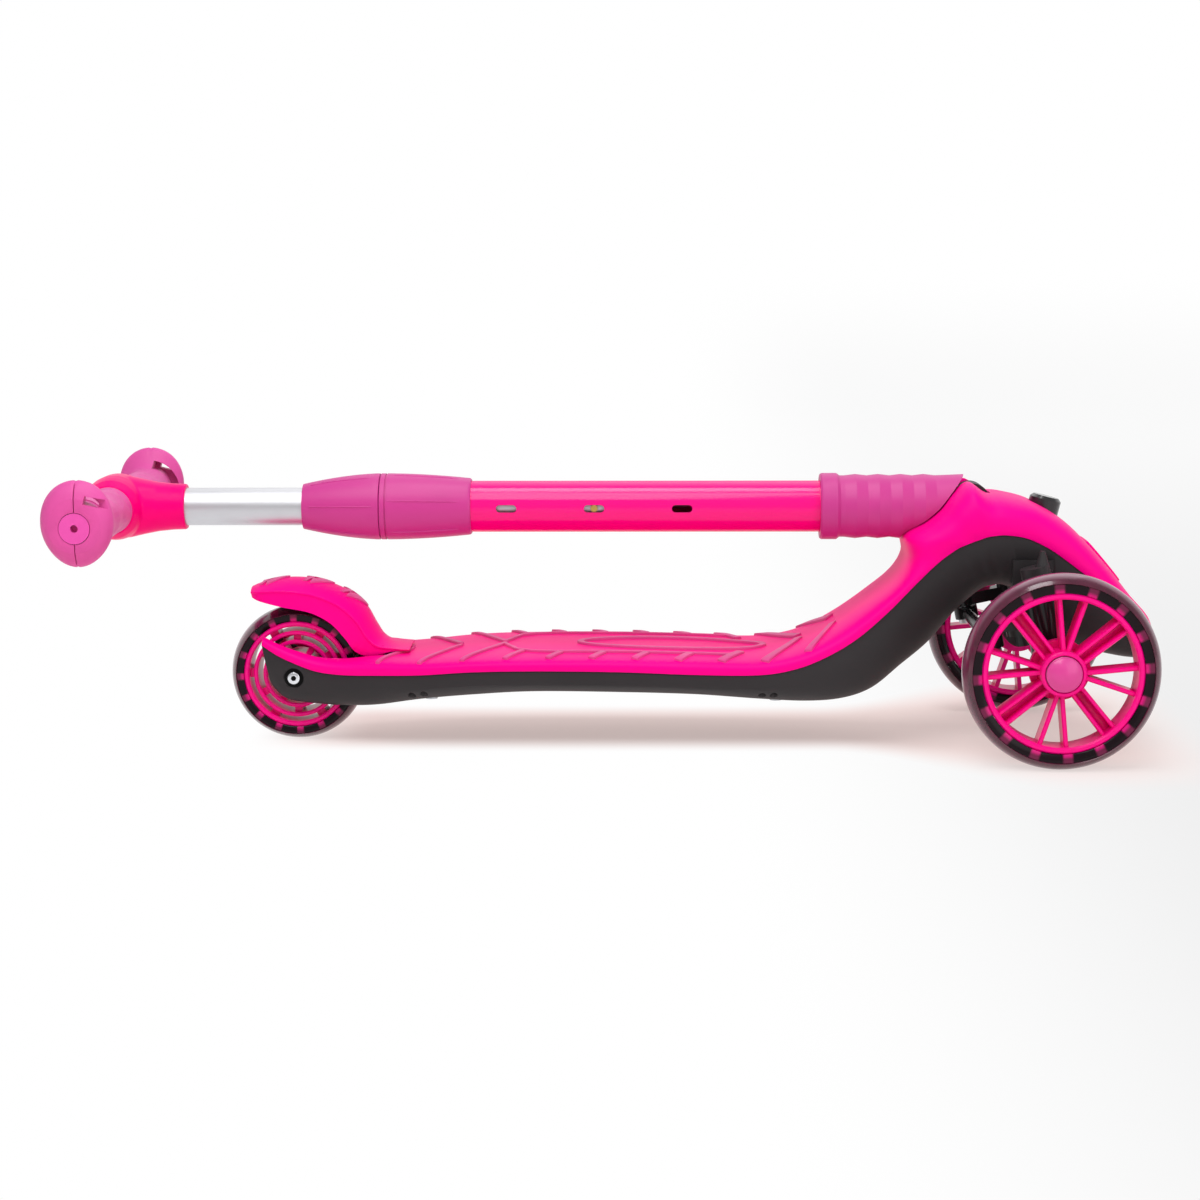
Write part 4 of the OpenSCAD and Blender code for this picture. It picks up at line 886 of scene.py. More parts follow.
    def tray(self, s: Station, inner: bool = False) -> Ring:
        """Return the under-shell's ring at a station.

        Args:
            s: The station.
            inner: Whether to return the hollow's ring.

        Returns:
            The ring, folded in below its mid-height crease.
        """
        height = math.dist(s.seam, s.belly)
        wide = self.half(s) - self.lip_inset - (self.skin if inner else 0)
        gap = 0 if inner else 0.3
        crease = min(self.tray_crease, 0.5 * height)
        points = []
        for a, up in arch(wide, height - (self.skin if inner else gap), 5, self.arc):
            fold = max(0.0, up - crease) / max(height - crease, 1.0)
            points.append((a * (1 - self.tray_lean * fold), up + gap))
        if inner:
            points = [(-wide, -6.0)] + points + [(wide, -6.0)]
        return stand(points, s.seam, s.belly)

    def under_shell(self) -> None:
        """Build the charcoal shell with its crease, wheel fork and screw pockets."""
        shell = Sketch().loft([self.tray(s) for s in self.stations])
        hollow = Sketch().loft([self.tray(s, inner=True) for s in self.stations
                                if self.well_front + 6 < s.seam_x < self.wheelbase + 56])
        window = Sketch().block((self.wheelbase - 24, -100, 110), (self.wheelbase + 2, 100, 126))
        pockets = Sketch()
        cuts = [hollow, self.well(), window, pockets]
        for side in SIDES:
            place = frame_at(0, side * 31.1, self.axle_z, -side * 90, "X")
            cuts.append(Sketch().revolve(self.recess, place, steps=48, closed=False))
            for x, y in self.pockets:
                pockets.prism(circle(self.pocket_r, 20, x, side * y), *self.pocket_z, Matrix())
        made = shell.build("under_shell_body", "charcoal")
        carve(made, cuts)
        soften(made, 0.4)
        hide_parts("under_shell")
        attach(made, "deck")

    def height(self, x: float, y: float, lift: float) -> float:
        """Return the deck's height at a place.

        Args:
            x: Distance from the rear axle.
            y: Distance from the middle.
            lift: How far above the skin.

        Returns:
            The height of the skin there, raised by the lift.
        """
        rows = self.stations
        for a, b in zip(rows, rows[1:]):
            if a.crown_x <= x <= b.crown_x:
                t = (x - a.crown_x) / max(b.crown_x - a.crown_x, 1e-6)
                s = Station(*(p + (q - p) * t for p, q in zip(a, b)))
                share = min(0.999, abs(y) / self.half(s))
                drop = 1 - (1 - share ** s.square) ** (1 / s.square)
                return s.crown_z - math.dist(s.seam, s.crown) * drop + lift
        return rows[-1].crown_z

    def treads(self) -> None:
        """Lay the raised tread on the deck: slanted bars, a rail by each edge, a plain oval."""
        made = Sketch()
        for side in SIDES:
            for i, (foot, head, width) in enumerate(self.bars):
                low = self.bar_x + self.bar_step * i
                high = low + self.bar_slant * (foot - head)
                self.rib(made, [(low, side * foot), (high, side * head)], width)
            self.rib(made, [(x, side * y) for x, y in self.rail], self.rail_w)
        long, short = self.oval_half
        turns = [math.tau * k / 64 for k in range(65)]
        self.rib(made, [(self.oval_x + long * math.cos(a), short * math.sin(a)) for a in turns],
                 self.oval_w)
        piece = made.build("tread", "tread_mauve", crease=30)
        soften(piece, 0.35)
        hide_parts("tread_ribs")
        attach(piece, "deck")

    def rib(self, made: Sketch, line: list[Flat], width: float) -> None:
        """Add one rib that follows the deck.

        Args:
            made: The sketch to add it to.
            line: Its middle line as x, y.
            width: Its width.
        """
        fine: list[Flat] = []
        for (x0, y0), (x1, y1) in zip(line, line[1:]):
            parts = max(1, int(math.hypot(x1 - x0, y1 - y0) / 4))
            fine += [(x0 + (x1 - x0) * k / parts, y0 + (y1 - y0) * k / parts)
                     for k in range(parts)]
        fine.append(line[-1])
        closed = line[0] == line[-1]
        rings = []
        for k, (x, y) in enumerate(fine):
            a, b = fine[max(k - 1, 0)], fine[min(k + 1, len(fine) - 1)]
            if closed and k in (0, len(fine) - 1):
                a, b = fine[-2], fine[1]
            dx, dy = b[0] - a[0], b[1] - a[1]
            size = math.hypot(dx, dy)
            nx, ny = -dy / size, dx / size
            ring = []
            for offset, lift in ((-0.5, -0.8), (-0.42, self.rib_high), (0.42, self.rib_high),
                                 (0.5, -0.8)):
                px, py = x + nx * width * offset, y + ny * width * offset
                ring.append((px, py, self.height(px, py, lift)))
            rings.append(ring)
        made.loft(rings, capped=not closed)

    def axle_screws(self) -> None:
        """Build the rear axle's socket screws, on washers and hexagons of painted shade."""
        screws, shade_washers, sockets = Sketch(), Sketch(), Sketch()
        hexagon = circle(self.socket_r, 6, turn=12)
        for side in SIDES:
            place = frame_at(0, side * (self.fork_half - 1), self.axle_z, -side * 90, "X")
            screws.revolve(self.screw, place, steps=48, closed=False)
            # Painted shade: a near-black washer in the recess round the head
            shade_washers.revolve(self.washer, place, steps=48)
            # Painted shade: a near-black hexagon at the floor of the screw's socket
            shade_washers.prism(hexagon, 0.6, 1.0, place)
            sockets.prism(hexagon, 0.8, 6.0, place)
        made = screws.build("axle_screws", "bright_zinc", crease=30)
        carve(made, [sockets], crease=30)
        washer = shade_washers.build("axle_washers", "pit_black")
        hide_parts("rear_axle_screws")
        for piece, slot in ((made, "zinc_steel"), (washer, "black_steel")):
            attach(piece, "deck")

    def nose_panel(self) -> None:
        """Build the raised cover on the front of the nose."""
        near = [s for s in self.stations if s.seam_x > self.wheelbase - 20]
        made = Sketch().loft([self.crown(s, 1.5) for s in near]).build("nose_cover", "shell_pink")
        long, wide, corner = self.cover
        outline = []
        for sx, sy, start in ((1, 1, 0), (-1, 1, 90), (-1, -1, 180), (1, -1, 270)):
            cx, cy = sx * (long - corner), sy * (wide - corner)
            angles = [math.radians(start + 15 * k) for k in range(7)]
            outline += [(cx + corner * math.cos(a), cy + corner * math.sin(a)) for a in angles]
        lean = frame_at(self.wheelbase + 40, 0, 121, 47, "Y")
        carve(made, [Sketch().prism(outline, -12, 12, lean)], Cut.KEEP)
        carve(made, [Sketch().loft([self.crown(s, -0.4) for s in near])])
        soften(made, 0.6, 3)
        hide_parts("nose_panel")
        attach(made, "deck")


# Foot brake -------------------------------------------------------------------------------


class FenderLine(NamedTuple):
    """One line over the fender: its highest and lowest place, and its share of the width."""

    top_x: float
    top_z: float
    low_x: float
    low_z: float
    width: float

    @property
    def top(self) -> Flat:
        """Return the place of its crown."""
        return self[0:2]

    @property
    def low(self) -> Flat:
        """Return the place of its two ends."""
        return self[2:4]


@dataclass
class Fender:
    """The sprung pink fender over the rear wheel, with its raised arrows and its pad."""

    half_width: float = 21.5
    skin: float = 2.8
    # The ridge's share of the fender's height, its bead's step out and greatest depth
    ridge: float = 0.6
    bead: float = 0.7
    bead_deep: float = 1.2
    lug_y: float = 16.5
    lug_half: float = 2.0
    lug_top: float = 65.5
    pin: Flat = (54.0, 51.0)
    # Each pair of arrows: x, z and slope in degrees
    arrows: tuple[Point, ...] = ((-13, 107.5, -8), (17, 106.4, 20), (41, 94.8, 50))
    # The lines' values
    rows: list[Row] = field(default_factory=lambda: [
        [-30.5, 102.5, -29, 96.5, 0.62], [-23, 105.3, -23, 94.5, 0.86], [-5, 108.6, -8, 91, 0.98],
        [14, 107, 10, 87.5, 1], [33, 100, 23.5, 80.5, 1], [45.5, 90, 33, 70.5, 1],
        [52.5, 78, 40, 61.5, 1], [58, 69.5, 50, 58.5, 1], [66, 64.6, 65, 61.6, 1],
        [76, 63.2, 76, 61.9, 0.96]])

    def ring(self, s: FenderLine, lift: float, inset: float = 0.0) -> Ring:
        """Return the fender's line at a station: upright flanks, a beaded ridge and a dome.

        Args:
            s: The line's values.
            lift: How far the crown is raised.
            inset: How far the sides are drawn in; only the outer line has the bead.

        Returns:
            The line's points.
        """
        height = math.dist(s.top, s.low) + lift
        half, edge = s.width * self.half_width - inset, height * self.ridge
        bead = 0.0 if inset else self.bead
        step = min(self.bead_deep, edge * 0.4)
        crown = [0.97 * math.sin(math.pi * (k / 24 - 0.5)) for k in range(25)]
        flank = [(half, 0.0), (half, (edge - step) * 0.6), (half, edge - step),
                 (half + bead, edge - step * 0.4), (half + bead, edge + step * 0.25)]
        line = [(-out, up) for out, up in flank]
        line += [(half * c, edge + (height - edge) * (1 - c * c)) for c in crown]
        return stand(line + flank[::-1], s.low, s.top)

    def build(self) -> None:
        """Build the fender and its arrows, and dress its pad."""
        lines = [FenderLine(*row) for row in smooth(self.rows, 6)]
        rings = []
        for s in lines:
            thick = min(self.skin, 0.6 * math.dist(s.top, s.low))
            rings.append(self.ring(s, 0) + self.ring(s, -thick, thick)[::-1])
        made = Sketch().loft(rings, wall=True).build("brake_fender", "shell_pink")
        lugs, half, (x, z) = Sketch(), self.lug_half, self.pin
        for middle in (-self.lug_y, self.lug_y):
            lugs.revolve([(2.6, -half), (5.5, -half), (5.5, half), (2.6, half)],
                         across(x, z, middle), steps=40)
            lugs.block((x - 4.6, middle - half, z + 2.9), (x + 4.6, middle + half, self.lug_top))
        lug = lugs.build("fender_lugs", "shell_pink")
        soften(made, 0.6)
        arrows = Sketch()
        for x, z, slope in self.arrows:
            lean = frame_at(x, 0, z, slope, "Y")
            arrows.prism([(-7, -11.5), (8, -0.8), (8, 0.8), (-7, 11.5), (-7, 5), (-2, 0.6),
                          (-2, -0.6), (-7, -5)], -9, 8, lean)
            arrows.prism([(-12, -9), (-9.5, -9), (-5.5, -0.6), (-5.5, 0.6), (-9.5, 9), (-12, 9),
                          (-9, 0.6), (-9, -0.6)], -9, 8, lean)
        pads = Sketch().loft([self.ring(s, 1.1) for s in lines])
        pad = pads.build("fender_arrows", "tread_mauve")
        carve(pad, [arrows], Cut.KEEP)
        carve(pad, [Sketch().loft([self.ring(s, -0.4) for s in lines])])
        soften(pad, 0.35)
        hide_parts("fender")
        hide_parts("fender_grips")
        for piece, slot in ((made, "pink_shell"), (lug, "pink_shell"), (pad, "mauve_rubber")):
            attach(piece, "brake")
        dress("black_rubber", "brake_pad")
        LOG.info("foot brake: fender, arrows and pad dressed")


# Stem and handlebar -----------------------------------------------------------------------


@dataclass
class Stem:
    """The folding stem: hinge block, mauve sleeve, pink tube and the clamp's two halves."""

    z: float = 156.0
    tube_r: float = 17.0
    clamp_r: float = 22.0
    clamp_x: float = 5.0
    nut_l: float = 51.5
    seam: float = 0.4
    base_end: float = 117.0
    # The clamp's six raised lines: their height, and half their foot and shoulder in radians
    line_high: float = 0.5
    line_foot: float = 0.034
    line_top: float = 0.018
    # The number of pieces in each half's curved section
    steps: int = 28

    def build(self) -> None:
        """Build the clamp's halves and dress the rest."""
        dress("tube_pink", "lower_tube")
        dress("sleeve_mauve", "fold_sleeve")
        dress("charcoal", "hinge_block", "collet")
        dress("black_gloss", "lock_button")
        dress("zinc", "block_bolts")
        nut = self.clamp_half("clamp_grip", self.nut_profile(), self.clamp_x, 25.0,
                              (self.nut_l - 46.0, self.nut_l - 4.2))
        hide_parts("clamp_nut")
        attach(nut, "clamp")
        collar = self.clamp_half("clamp_collar", self.base_profile(),
                                 self.clamp_x + self.nut_l + self.seam, 15.0, (5.0, 52.0))
        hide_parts("clamp_base")
        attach(collar, "stem")
        LOG.info("stem: tube, sleeve, hinge block and clamp dressed")

    def nut_profile(self) -> list[Flat]:
        """Return the clamp nut's section as radius, height, with a groove before the seam."""
        n, r, end = self.steps, self.clamp_r, self.nut_l
        outer = [(r - 7 * (i / n) ** 1.7, end * (1 - i / n)) for i in range(n, 0, -1)]
        groove = [(r, end - 3.6), (r - 0.45, end - 3.2), (r - 0.45, end - 2.6), (r, end - 2.2),
                  (r, end - 0.4), (r - 0.4, end)]
        inner = [(17.4, end), (17.4, 24.0), (14.4, 16.0), (14.4, 2.4), (12.9, 2.4)]
        return [(12.9, 0.0)] + outer + groove + inner

    def base_profile(self) -> list[Flat]:
        """Return the clamp collar's section as radius, height."""
        n, r, start = self.steps, self.clamp_r, 4.4
        length = self.base_end - self.clamp_x - self.nut_l - self.seam
        outer = [(r - 3.3 * (i / n) ** 1.8, start + (length - start) * i / n)
                 for i in range(n + 1)]
        end_r = outer[-1][0]
        return ([(17.05, 0.0), (r - 0.4, 0.0), (r, 0.4), (r, 3.3), (r - 0.8, 3.5), (r - 0.8, 4.2)]
                + outer[:-1] + [(end_r, length - 0.8), (end_r - 0.7, length), (17.05, length)])

    def clamp_half(self, name: str, profile: list[Flat], x: float, first: float,
                   span: Flat) -> bpy.types.Object:
        """Build one half of the clamp with its fine raised lines.

        Args:
            name: The new piece's name.
            profile: Its section as radius, height.
            x: Where its section starts along the stem.
            first: The first line's angle in degrees.
            span: Where the lines start and end, as heights.

        Returns:
            The piece.
        """
        clean = [profile[0]]
        for p in profile[1:]:
            if math.dist(p, clean[-1]) > 1e-4:
                clean.append(p)
        place = along(x, self.z)
        look = Palette.get("sleeve_mauve")
        made = Sketch().revolve(clean, place, steps=120).build(name, look, crease=40)
        low, high = span
        for i in range(6):
            angle = math.radians(first + 60 * i)
            rings = []
            for k in range(17):
                t = k / 16
                h = low + (high - low) * t
                radius = self.skin_radius(profile, h)
                rise = self.line_high * min(1.0, 6 * t, 6 * (1 - t) + 0.25)
                section = ((-0.5, -self.line_foot), (rise * 0.7, -self.line_top), (rise, 0.0),
                           (rise * 0.7, self.line_top), (-0.5, self.line_foot))
                rings.append([((radius + dr) * math.cos(angle + da),
                               (radius + dr) * math.sin(angle + da), h) for dr, da in section])
            join(made, Sketch().loft(rings, place).build(f"{name}_line", look, crease=70))
        return made

    def skin_radius(self, profile: list[Flat], height: float) -> float:
        """Return a section's outer radius at a height."""
        best = self.tube_r
        for (r0, h0), (r1, h1) in zip(profile, profile[1:]):
            if min(h0, h1) <= height <= max(h0, h1) and abs(h1 - h0) > 1e-6:
                best = max(best, r0 + (r1 - r0) * (height - h0) / (h1 - h0))
        return best


class GripRing(NamedTuple):
    """One ring of a grip: its place from the outer end, half-width and reach up and down."""

    run: float
    wide: float
    above: float
    below: float


@dataclass
class Bar:
    """The sliding tube, the T-piece and the two grips with their wide flanges."""

    x: float = -120.0
    z: float = 156.0
    half: float = 131.0
    tube_r: float = 11.0
    grip_r: float = 15.5
    flange_half: float = 22.8
    egg: float = 0.12
    plug_r: float = 9.6
    t_half: float = 24.0
    t_r: float = 21.5
    neck_end: float = 47.0
    # The casting's grid in millimetres, and the passes that blend it
    grid: float = 0.8
    blend: int = 12
    # The ribbon slot's plan as X from the bar and depth from the face; then the heights of its
    # floor and roof, its lean in degrees, and its pocket's radii
    ribbon: tuple[Flat, ...] = ((2.0, 0.0), (24.0, 0.0), (24.0, 4.5), (6.2, 9.5), (2.0, 9.5))
    ribbon_z: Flat = (15.8, 21.2)
    ribbon_lean: float = 13.0
    pocket_r: Flat = (14.8, 20.6)
    # How many points a grip's ring has, and where its carved handle starts and ends
    around: int = 112
    carved: Flat = (26.0, 101.0)
    # The grip rings' values
    rows: list[Row] = field(default_factory=lambda: [
        [0, 16.5, 18.5, 15.5], [2, 19.4, 23.6, 19.4], [5, 21.6, 27.4, 23], [9, 22.8, 29.4, 25],
        [13, 21.8, 28, 24], [17, 18.6, 22.6, 20], [22, 16.3, 17.1, 16.7], [32, 15.5, 15.5, 15.5],
        [62, 15.9, 15.9, 15.9], [92, 15.5, 15.5, 15.5], [103.6, 15.5, 15.5, 15.5]])

    def build(self) -> None:
        """Build the T-piece and the grips, and dress the rest."""
        dress("silver", "upper_tube", "bar_tube")
        dress("zinc", "t_screw", "snap_spring")
        dress("black_rubber", "tube_shoe")
        dress("brass", "snap_button")
        dress("plug_mauve", "end_plugs")
        self.t_piece()
        for side in Side:
            self.grip(side)
        LOG.info("bar: T-piece, grips, plugs and tubes dressed")

    def t_piece(self) -> None:
        """Build the T-piece as one smoothly blended casting."""
        h, r, end = self.t_half, self.t_r, self.neck_end
        side, front = across(self.x, self.z), along(self.x, self.z)
        barrel = [(0.0, -h - 3), (16.0, -h - 3), (17.5, -h), (19.4, -h + 4), (r - 1, -h + 9),
                  (r, -8), (r, 8), (r - 1, h - 9), (19.4, h - 4), (17.5, h), (16.0, h + 3),
                  (0.0, h + 3)]
        neck = [(0.0, 0.0), (r - 0.5, 0), (r - 1, 9), (18.4, 18), (16.4, 28), (15.4, 38),
                (15.1, end), (0.0, end)]
        made = Sketch().revolve(barrel, side, closed=False).build("tee", "joint_pink")
        carve(made, [Sketch().revolve(neck, front, closed=False)], Cut.ADD, None)
        grid = made.modifiers.new("grid", "REMESH")
        grid.mode, grid.voxel_size = "VOXEL", self.grid * MM
        blend = made.modifiers.new("blend", "LAPLACIANSMOOTH")
        blend.iterations, blend.lambda_factor, blend.use_volume_preserve = self.blend, 1.2, True
        settle(made, 60.0)
        trim = Sketch().block((self.x - 40, -h - 2.9, self.z - 40),
                              (self.x + end - 0.1, h + 2.9, self.z + 40))
        bore = Sketch().rod(self.tube_r + 0.1, -60.0, 60.0, side)
        socket = Sketch().rod(12.6, 17.8, 60.0, front)
        head = Sketch().rod(4.8, -40.0, -18.7, front, steps=40)
        carve(made, [trim], Cut.KEEP, 50.0)
        carve(made, [bore, socket, head], crease=50.0)
        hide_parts("t_piece")
        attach(made, "bar")

    def grip(self, side: Side) -> None:
        """Build one grip: a wide egg-shaped flange, a ribbon slot, a seam and a carved handle.

        Args:
            side: The hand it is for.
        """
        rings = []
        for s in (GripRing(*row) for row in smooth(self.rows, 8)):
            flare = self.egg * (s.wide - self.grip_r) / (self.flange_half - self.grip_r)
            ring = []
            for i in range(self.around):
                a = math.tau * i / self.around
                reach = s.above if math.sin(a) > 0 else s.below
                swirl = self.handle_relief(s.run, a)
                seam = i in (self.around // 4, self.around * 3 // 4) and s.run < 16
                ring.append((self.x + (s.wide * (1 + flare * math.sin(a)) + swirl) * math.cos(a),
                             side.value * (self.half - s.run),
                             self.z + (reach + swirl - 0.5 * seam) * math.sin(a)))
            rings.append(ring)
        made = Sketch().loft(rings).build(f"{side.word}_handgrip", "grip_mauve")
        bores = ((self.tube_r + 0.05, self.half - 7), (self.plug_r + 0.35, self.half + 5))
        cuts = [Sketch().rod(radius, -reach, reach, across(self.x, self.z))
                for radius, reach in bores]
        # The ribbon slot: a ramp sinks from the front face to a hole that opens behind the
        # flange, into a curved pocket along its edge
        face = side.value * (self.half + 1)
        plan = [(x, face - side.value * deep) for x, deep in self.ribbon]
        cuts.append(Sketch().prism(plan, *self.ribbon_z,
                                   frame_at(self.x, 0, self.z, self.ribbon_lean, "Y")))
        turns = [math.radians(8 + 8 * k) for k in range(10)]
        low, high = self.pocket_r
        sector = [(high, a) for a in turns] + [(low, a) for a in reversed(turns)]
        cuts.append(Sketch().loft([
            [(self.x + r * math.cos(a), face - side.value * deep, self.z + 0.5 + r * math.sin(a))
             for r, a in sector] for deep in (8.2, 26.0)]))
        # The seam's two cuts, above and below the bar
        y = side.value * self.half
        near, far = sorted((y + side.value * 3, y - side.value * 6))
        for foot, top in ((8, 40), (-40, -8)):
            cuts.append(Sketch().block((self.x - 0.32, near, self.z + foot),
                                       (self.x + 0.32, far, self.z + top)))
        carve(made, cuts, crease=38.0)
        soften(made, 0.3, limit=50.0)
        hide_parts(f"{side.word}_grip")
        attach(made, "bar")

    def handle_relief(self, run: float, angle: float) -> float:
        """Return the handle's shallow wave relief.

        Args:
            run: Distance from the grip's outer end.
            angle: The angle round the bar.

        Returns:
            The height above the plain grip, zero or less.
        """
        start, end = self.carved
        if run < start:
            return 0.0
        wave = math.sin(angle * 3 + run * 0.16) * math.sin(angle * 2 - run * 0.09)
        ease = min(1.0, (run - start) / 8, max(0.0, (end - run) / 6))
        return -0.8 * ease * (1.0 if wave > 0.12 else max(0.0, wave / 0.12))


# Steering and wheels ----------------------------------------------------------------------


def ring_tree(name: str, part: bpy.types.Object, look: bpy.types.Material,
              values: dict[str, tuple[str, float]]) -> tuple[bpy.types.NodeTree, dict[str, float]]:
    """Make the Geometry Nodes tree that sets copies of a part round the frame's Z.

    Args:
        name: The tree's name.
        part: The part to copy.
        look: The finish that every copy gets.
        values: The tree's inputs by label, Count, First angle and Step angle in radians, each
            with its socket's kind and value.

    Returns:
        The tree, and the values by their sockets' identifiers.
    """
    tree = bpy.data.node_groups.new(name, "GeometryNodeTree")
    face = tree.interface
    face.new_socket("Geometry", in_out="OUTPUT", socket_type="NodeSocketGeometry")
    inputs = {face.new_socket(label, in_out="INPUT", socket_type=kind).identifier: value
              for label, (kind, value) in values.items()}
    kinds = {"start": "NodeGroupInput", "end": "NodeGroupOutput", "line": "GeometryNodeMeshLine",
             "source": "GeometryNodeObjectInfo", "copies": "GeometryNodeInstanceOnPoints",
             "index": "GeometryNodeInputIndex", "product": "ShaderNodeMath",
             "total": "ShaderNodeMath", "turn": "ShaderNodeCombineXYZ",
             "whole": "GeometryNodeRealizeInstances", "dressed": "GeometryNodeSetMaterial"}
    nodes = {key: tree.nodes.new(kind) for key, kind in kinds.items()}
    nodes["product"].operation, nodes["total"].operation = "MULTIPLY", "ADD"
    nodes["line"].inputs["Offset"].default_value = (0.0, 0.0, 0.0)
    nodes["source"].inputs["Object"].default_value = part
    nodes["dressed"].inputs["Material"].default_value = look
    for source, output, target, place in (
            ("start", "Count", "line", "Count"), ("index", 0, "product", 0),
            ("start", "Step angle", "product", 1), ("product", 0, "total", 0),
            ("start", "First angle", "total", 1), ("total", 0, "turn", "Z"),
            ("line", 0, "copies", "Points"), ("source", "Geometry", "copies", "Instance"),
            ("turn", 0, "copies", "Rotation"), ("copies", 0, "whole", 0),
            ("whole", 0, "dressed", "Geometry"), ("dressed", 0, "end", 0)):
        tree.links.new(nodes[source].outputs[output], nodes[target].inputs[place])
    return tree, inputs


def radial_copies(name: str, shape: Sketch, places: Point, look: bpy.types.Material,
                  centre: Matrix) -> bpy.types.Object:
    """Set copies of a part round an axle with Geometry Nodes.

    Args:
        name: The new object's name.
        shape: The part, drawn for angle 0 about the axle at the origin.
        places: The number of copies, the first angle and the step, in degrees.
        look: The finish that every copy gets.
        centre: The axle's frame, in millimetres.

    Returns:
        One plain mesh object holding all copies.
    """
    part = shape.build(f"{name}_part")
    part.data.transform(Matrix.Translation((-FRAME_X * MM, 0, 0)))
    count, first, step = places
    tree, inputs = ring_tree(f"{name}_ring", part, look, {
        "Count": ("NodeSocketInt", int(count)),
        "First angle": ("NodeSocketFloat", math.radians(first)),
        "Step angle": ("NodeSocketFloat", math.radians(step))})
    made = bpy.data.objects.new(name, bpy.data.meshes.new(name))
    bpy.context.scene.collection.objects.link(made)
    copier = made.modifiers.new("ring", "NODES")
    copier.node_group = tree
    for identifier, value in inputs.items():
        copier[identifier] = value
    settle(made, 35.0)
    shift = centre.copy()
    shift.translation = (centre.translation + Vector((FRAME_X, 0, 0))) * MM
    made.data.transform(shift)
    weld(made.data, 35.0)
    bpy.data.objects.remove(part, do_unlink=True)
    return made


@dataclass
class Wheel:
    """One wheel: clear smoked tyre, its band of blocks, and the hoops of its pink rim."""

    name: str
    x: float
    y: float
    z: float
    radius: float
    tyre_w: float
    tyre_depth: float
    turn: float
    outward: int = 1
    blocks: int = 16
    # How far the band of blocks stays inside the tyre's shoulder and sides
    seam_in: float = 0.6
    band_in: float = 0.8

    @property
    def body(self) -> str:
        """Return the body that the wheel moves with."""
        return f"{self.name}_wheel"

    @property
    def place(self) -> Matrix:
        """Return the frame whose Z runs outward along the axle."""
        return frame_at(self.x, self.y, self.z, -90 if self.outward > 0 else 90, "X")

    @property
    def rim_r(self) -> float:
        """Return the rim's outer radius."""
        return self.radius - self.tyre_depth

    def tyre(self) -> None:
        """Build the tyre's clear outer ring and the band of blocks between it and the rim."""
        half = self.tyre_w / 2
        shoulder = self.radius - self.tyre_depth * 0.45
        seam = shoulder - self.seam_in
        look = SmokedTyre(f"{self.name}_smoke",
                          ((self.x + FRAME_X) * MM, self.y * MM, self.z * MM),
                          self.rim_r, self.radius, self.blocks, self.turn)
        crown = (half ** 2 + (self.radius - shoulder) ** 2) / (2 * (self.radius - shoulder))
        heights = [-half + self.tyre_w * k / 24 for k in range(25)]
        outer = [(self.radius - crown + math.sqrt(crown ** 2 - h * h), h) for h in heights]
        # A crisp lip where the tread meets the side, then the wall down to the band of blocks
        side = [(seam, half - 1.6), (seam + 0.12, half - 0.5), (seam + 0.35, half - 0.15)]
        profile = [(r, -h) for r, h in side] + outer + side[::-1]
        made = Sketch().revolve(profile, self.place, steps=160).build(
            f"{self.name}_clear_tyre", look.material(), crease=40)
        inner, deep, wide = self.rim_r + 0.1, seam - 0.1, half - self.band_in
        band = [(inner, -wide + 0.5), (inner + 0.6, -wide), (deep, -wide), (deep, wide),
                (inner + 0.6, wide), (inner, wide - 0.5)]
        ring = Sketch().revolve(band, self.place, steps=160).build(
            f"{self.name}_blocks", look.core(), crease=40)
        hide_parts(f"{self.name}_tyre")
        for piece in (made, ring):
            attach(piece, self.body)

    def rim_hoop(self, shape: Sketch, outer: float, inner: float, half: float, lip: float) -> None:
        """Add a hoop with rounded lips.

        Args:
            shape: The sketch to add it to.
            outer: Its outer radius.
            inner: Its inner radius.
            half: Half its width.
            lip: The rounding of its edges.
        """
        shape.revolve([(inner, -half + lip), (inner + lip, -half), (outer - lip, -half),
                       (outer, -half + lip), (outer, half - lip), (outer - lip, half),
                       (inner + lip, half), (inner, half - lip)], self.place, steps=128)

    def rim(self, made: bpy.types.Object) -> None:
        """Enter the finished rim and dress the wheel's bearings."""
        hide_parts(f"{self.name}_rim")
        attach(made, self.body)
        dress("zinc", f"{self.name}_bearings")


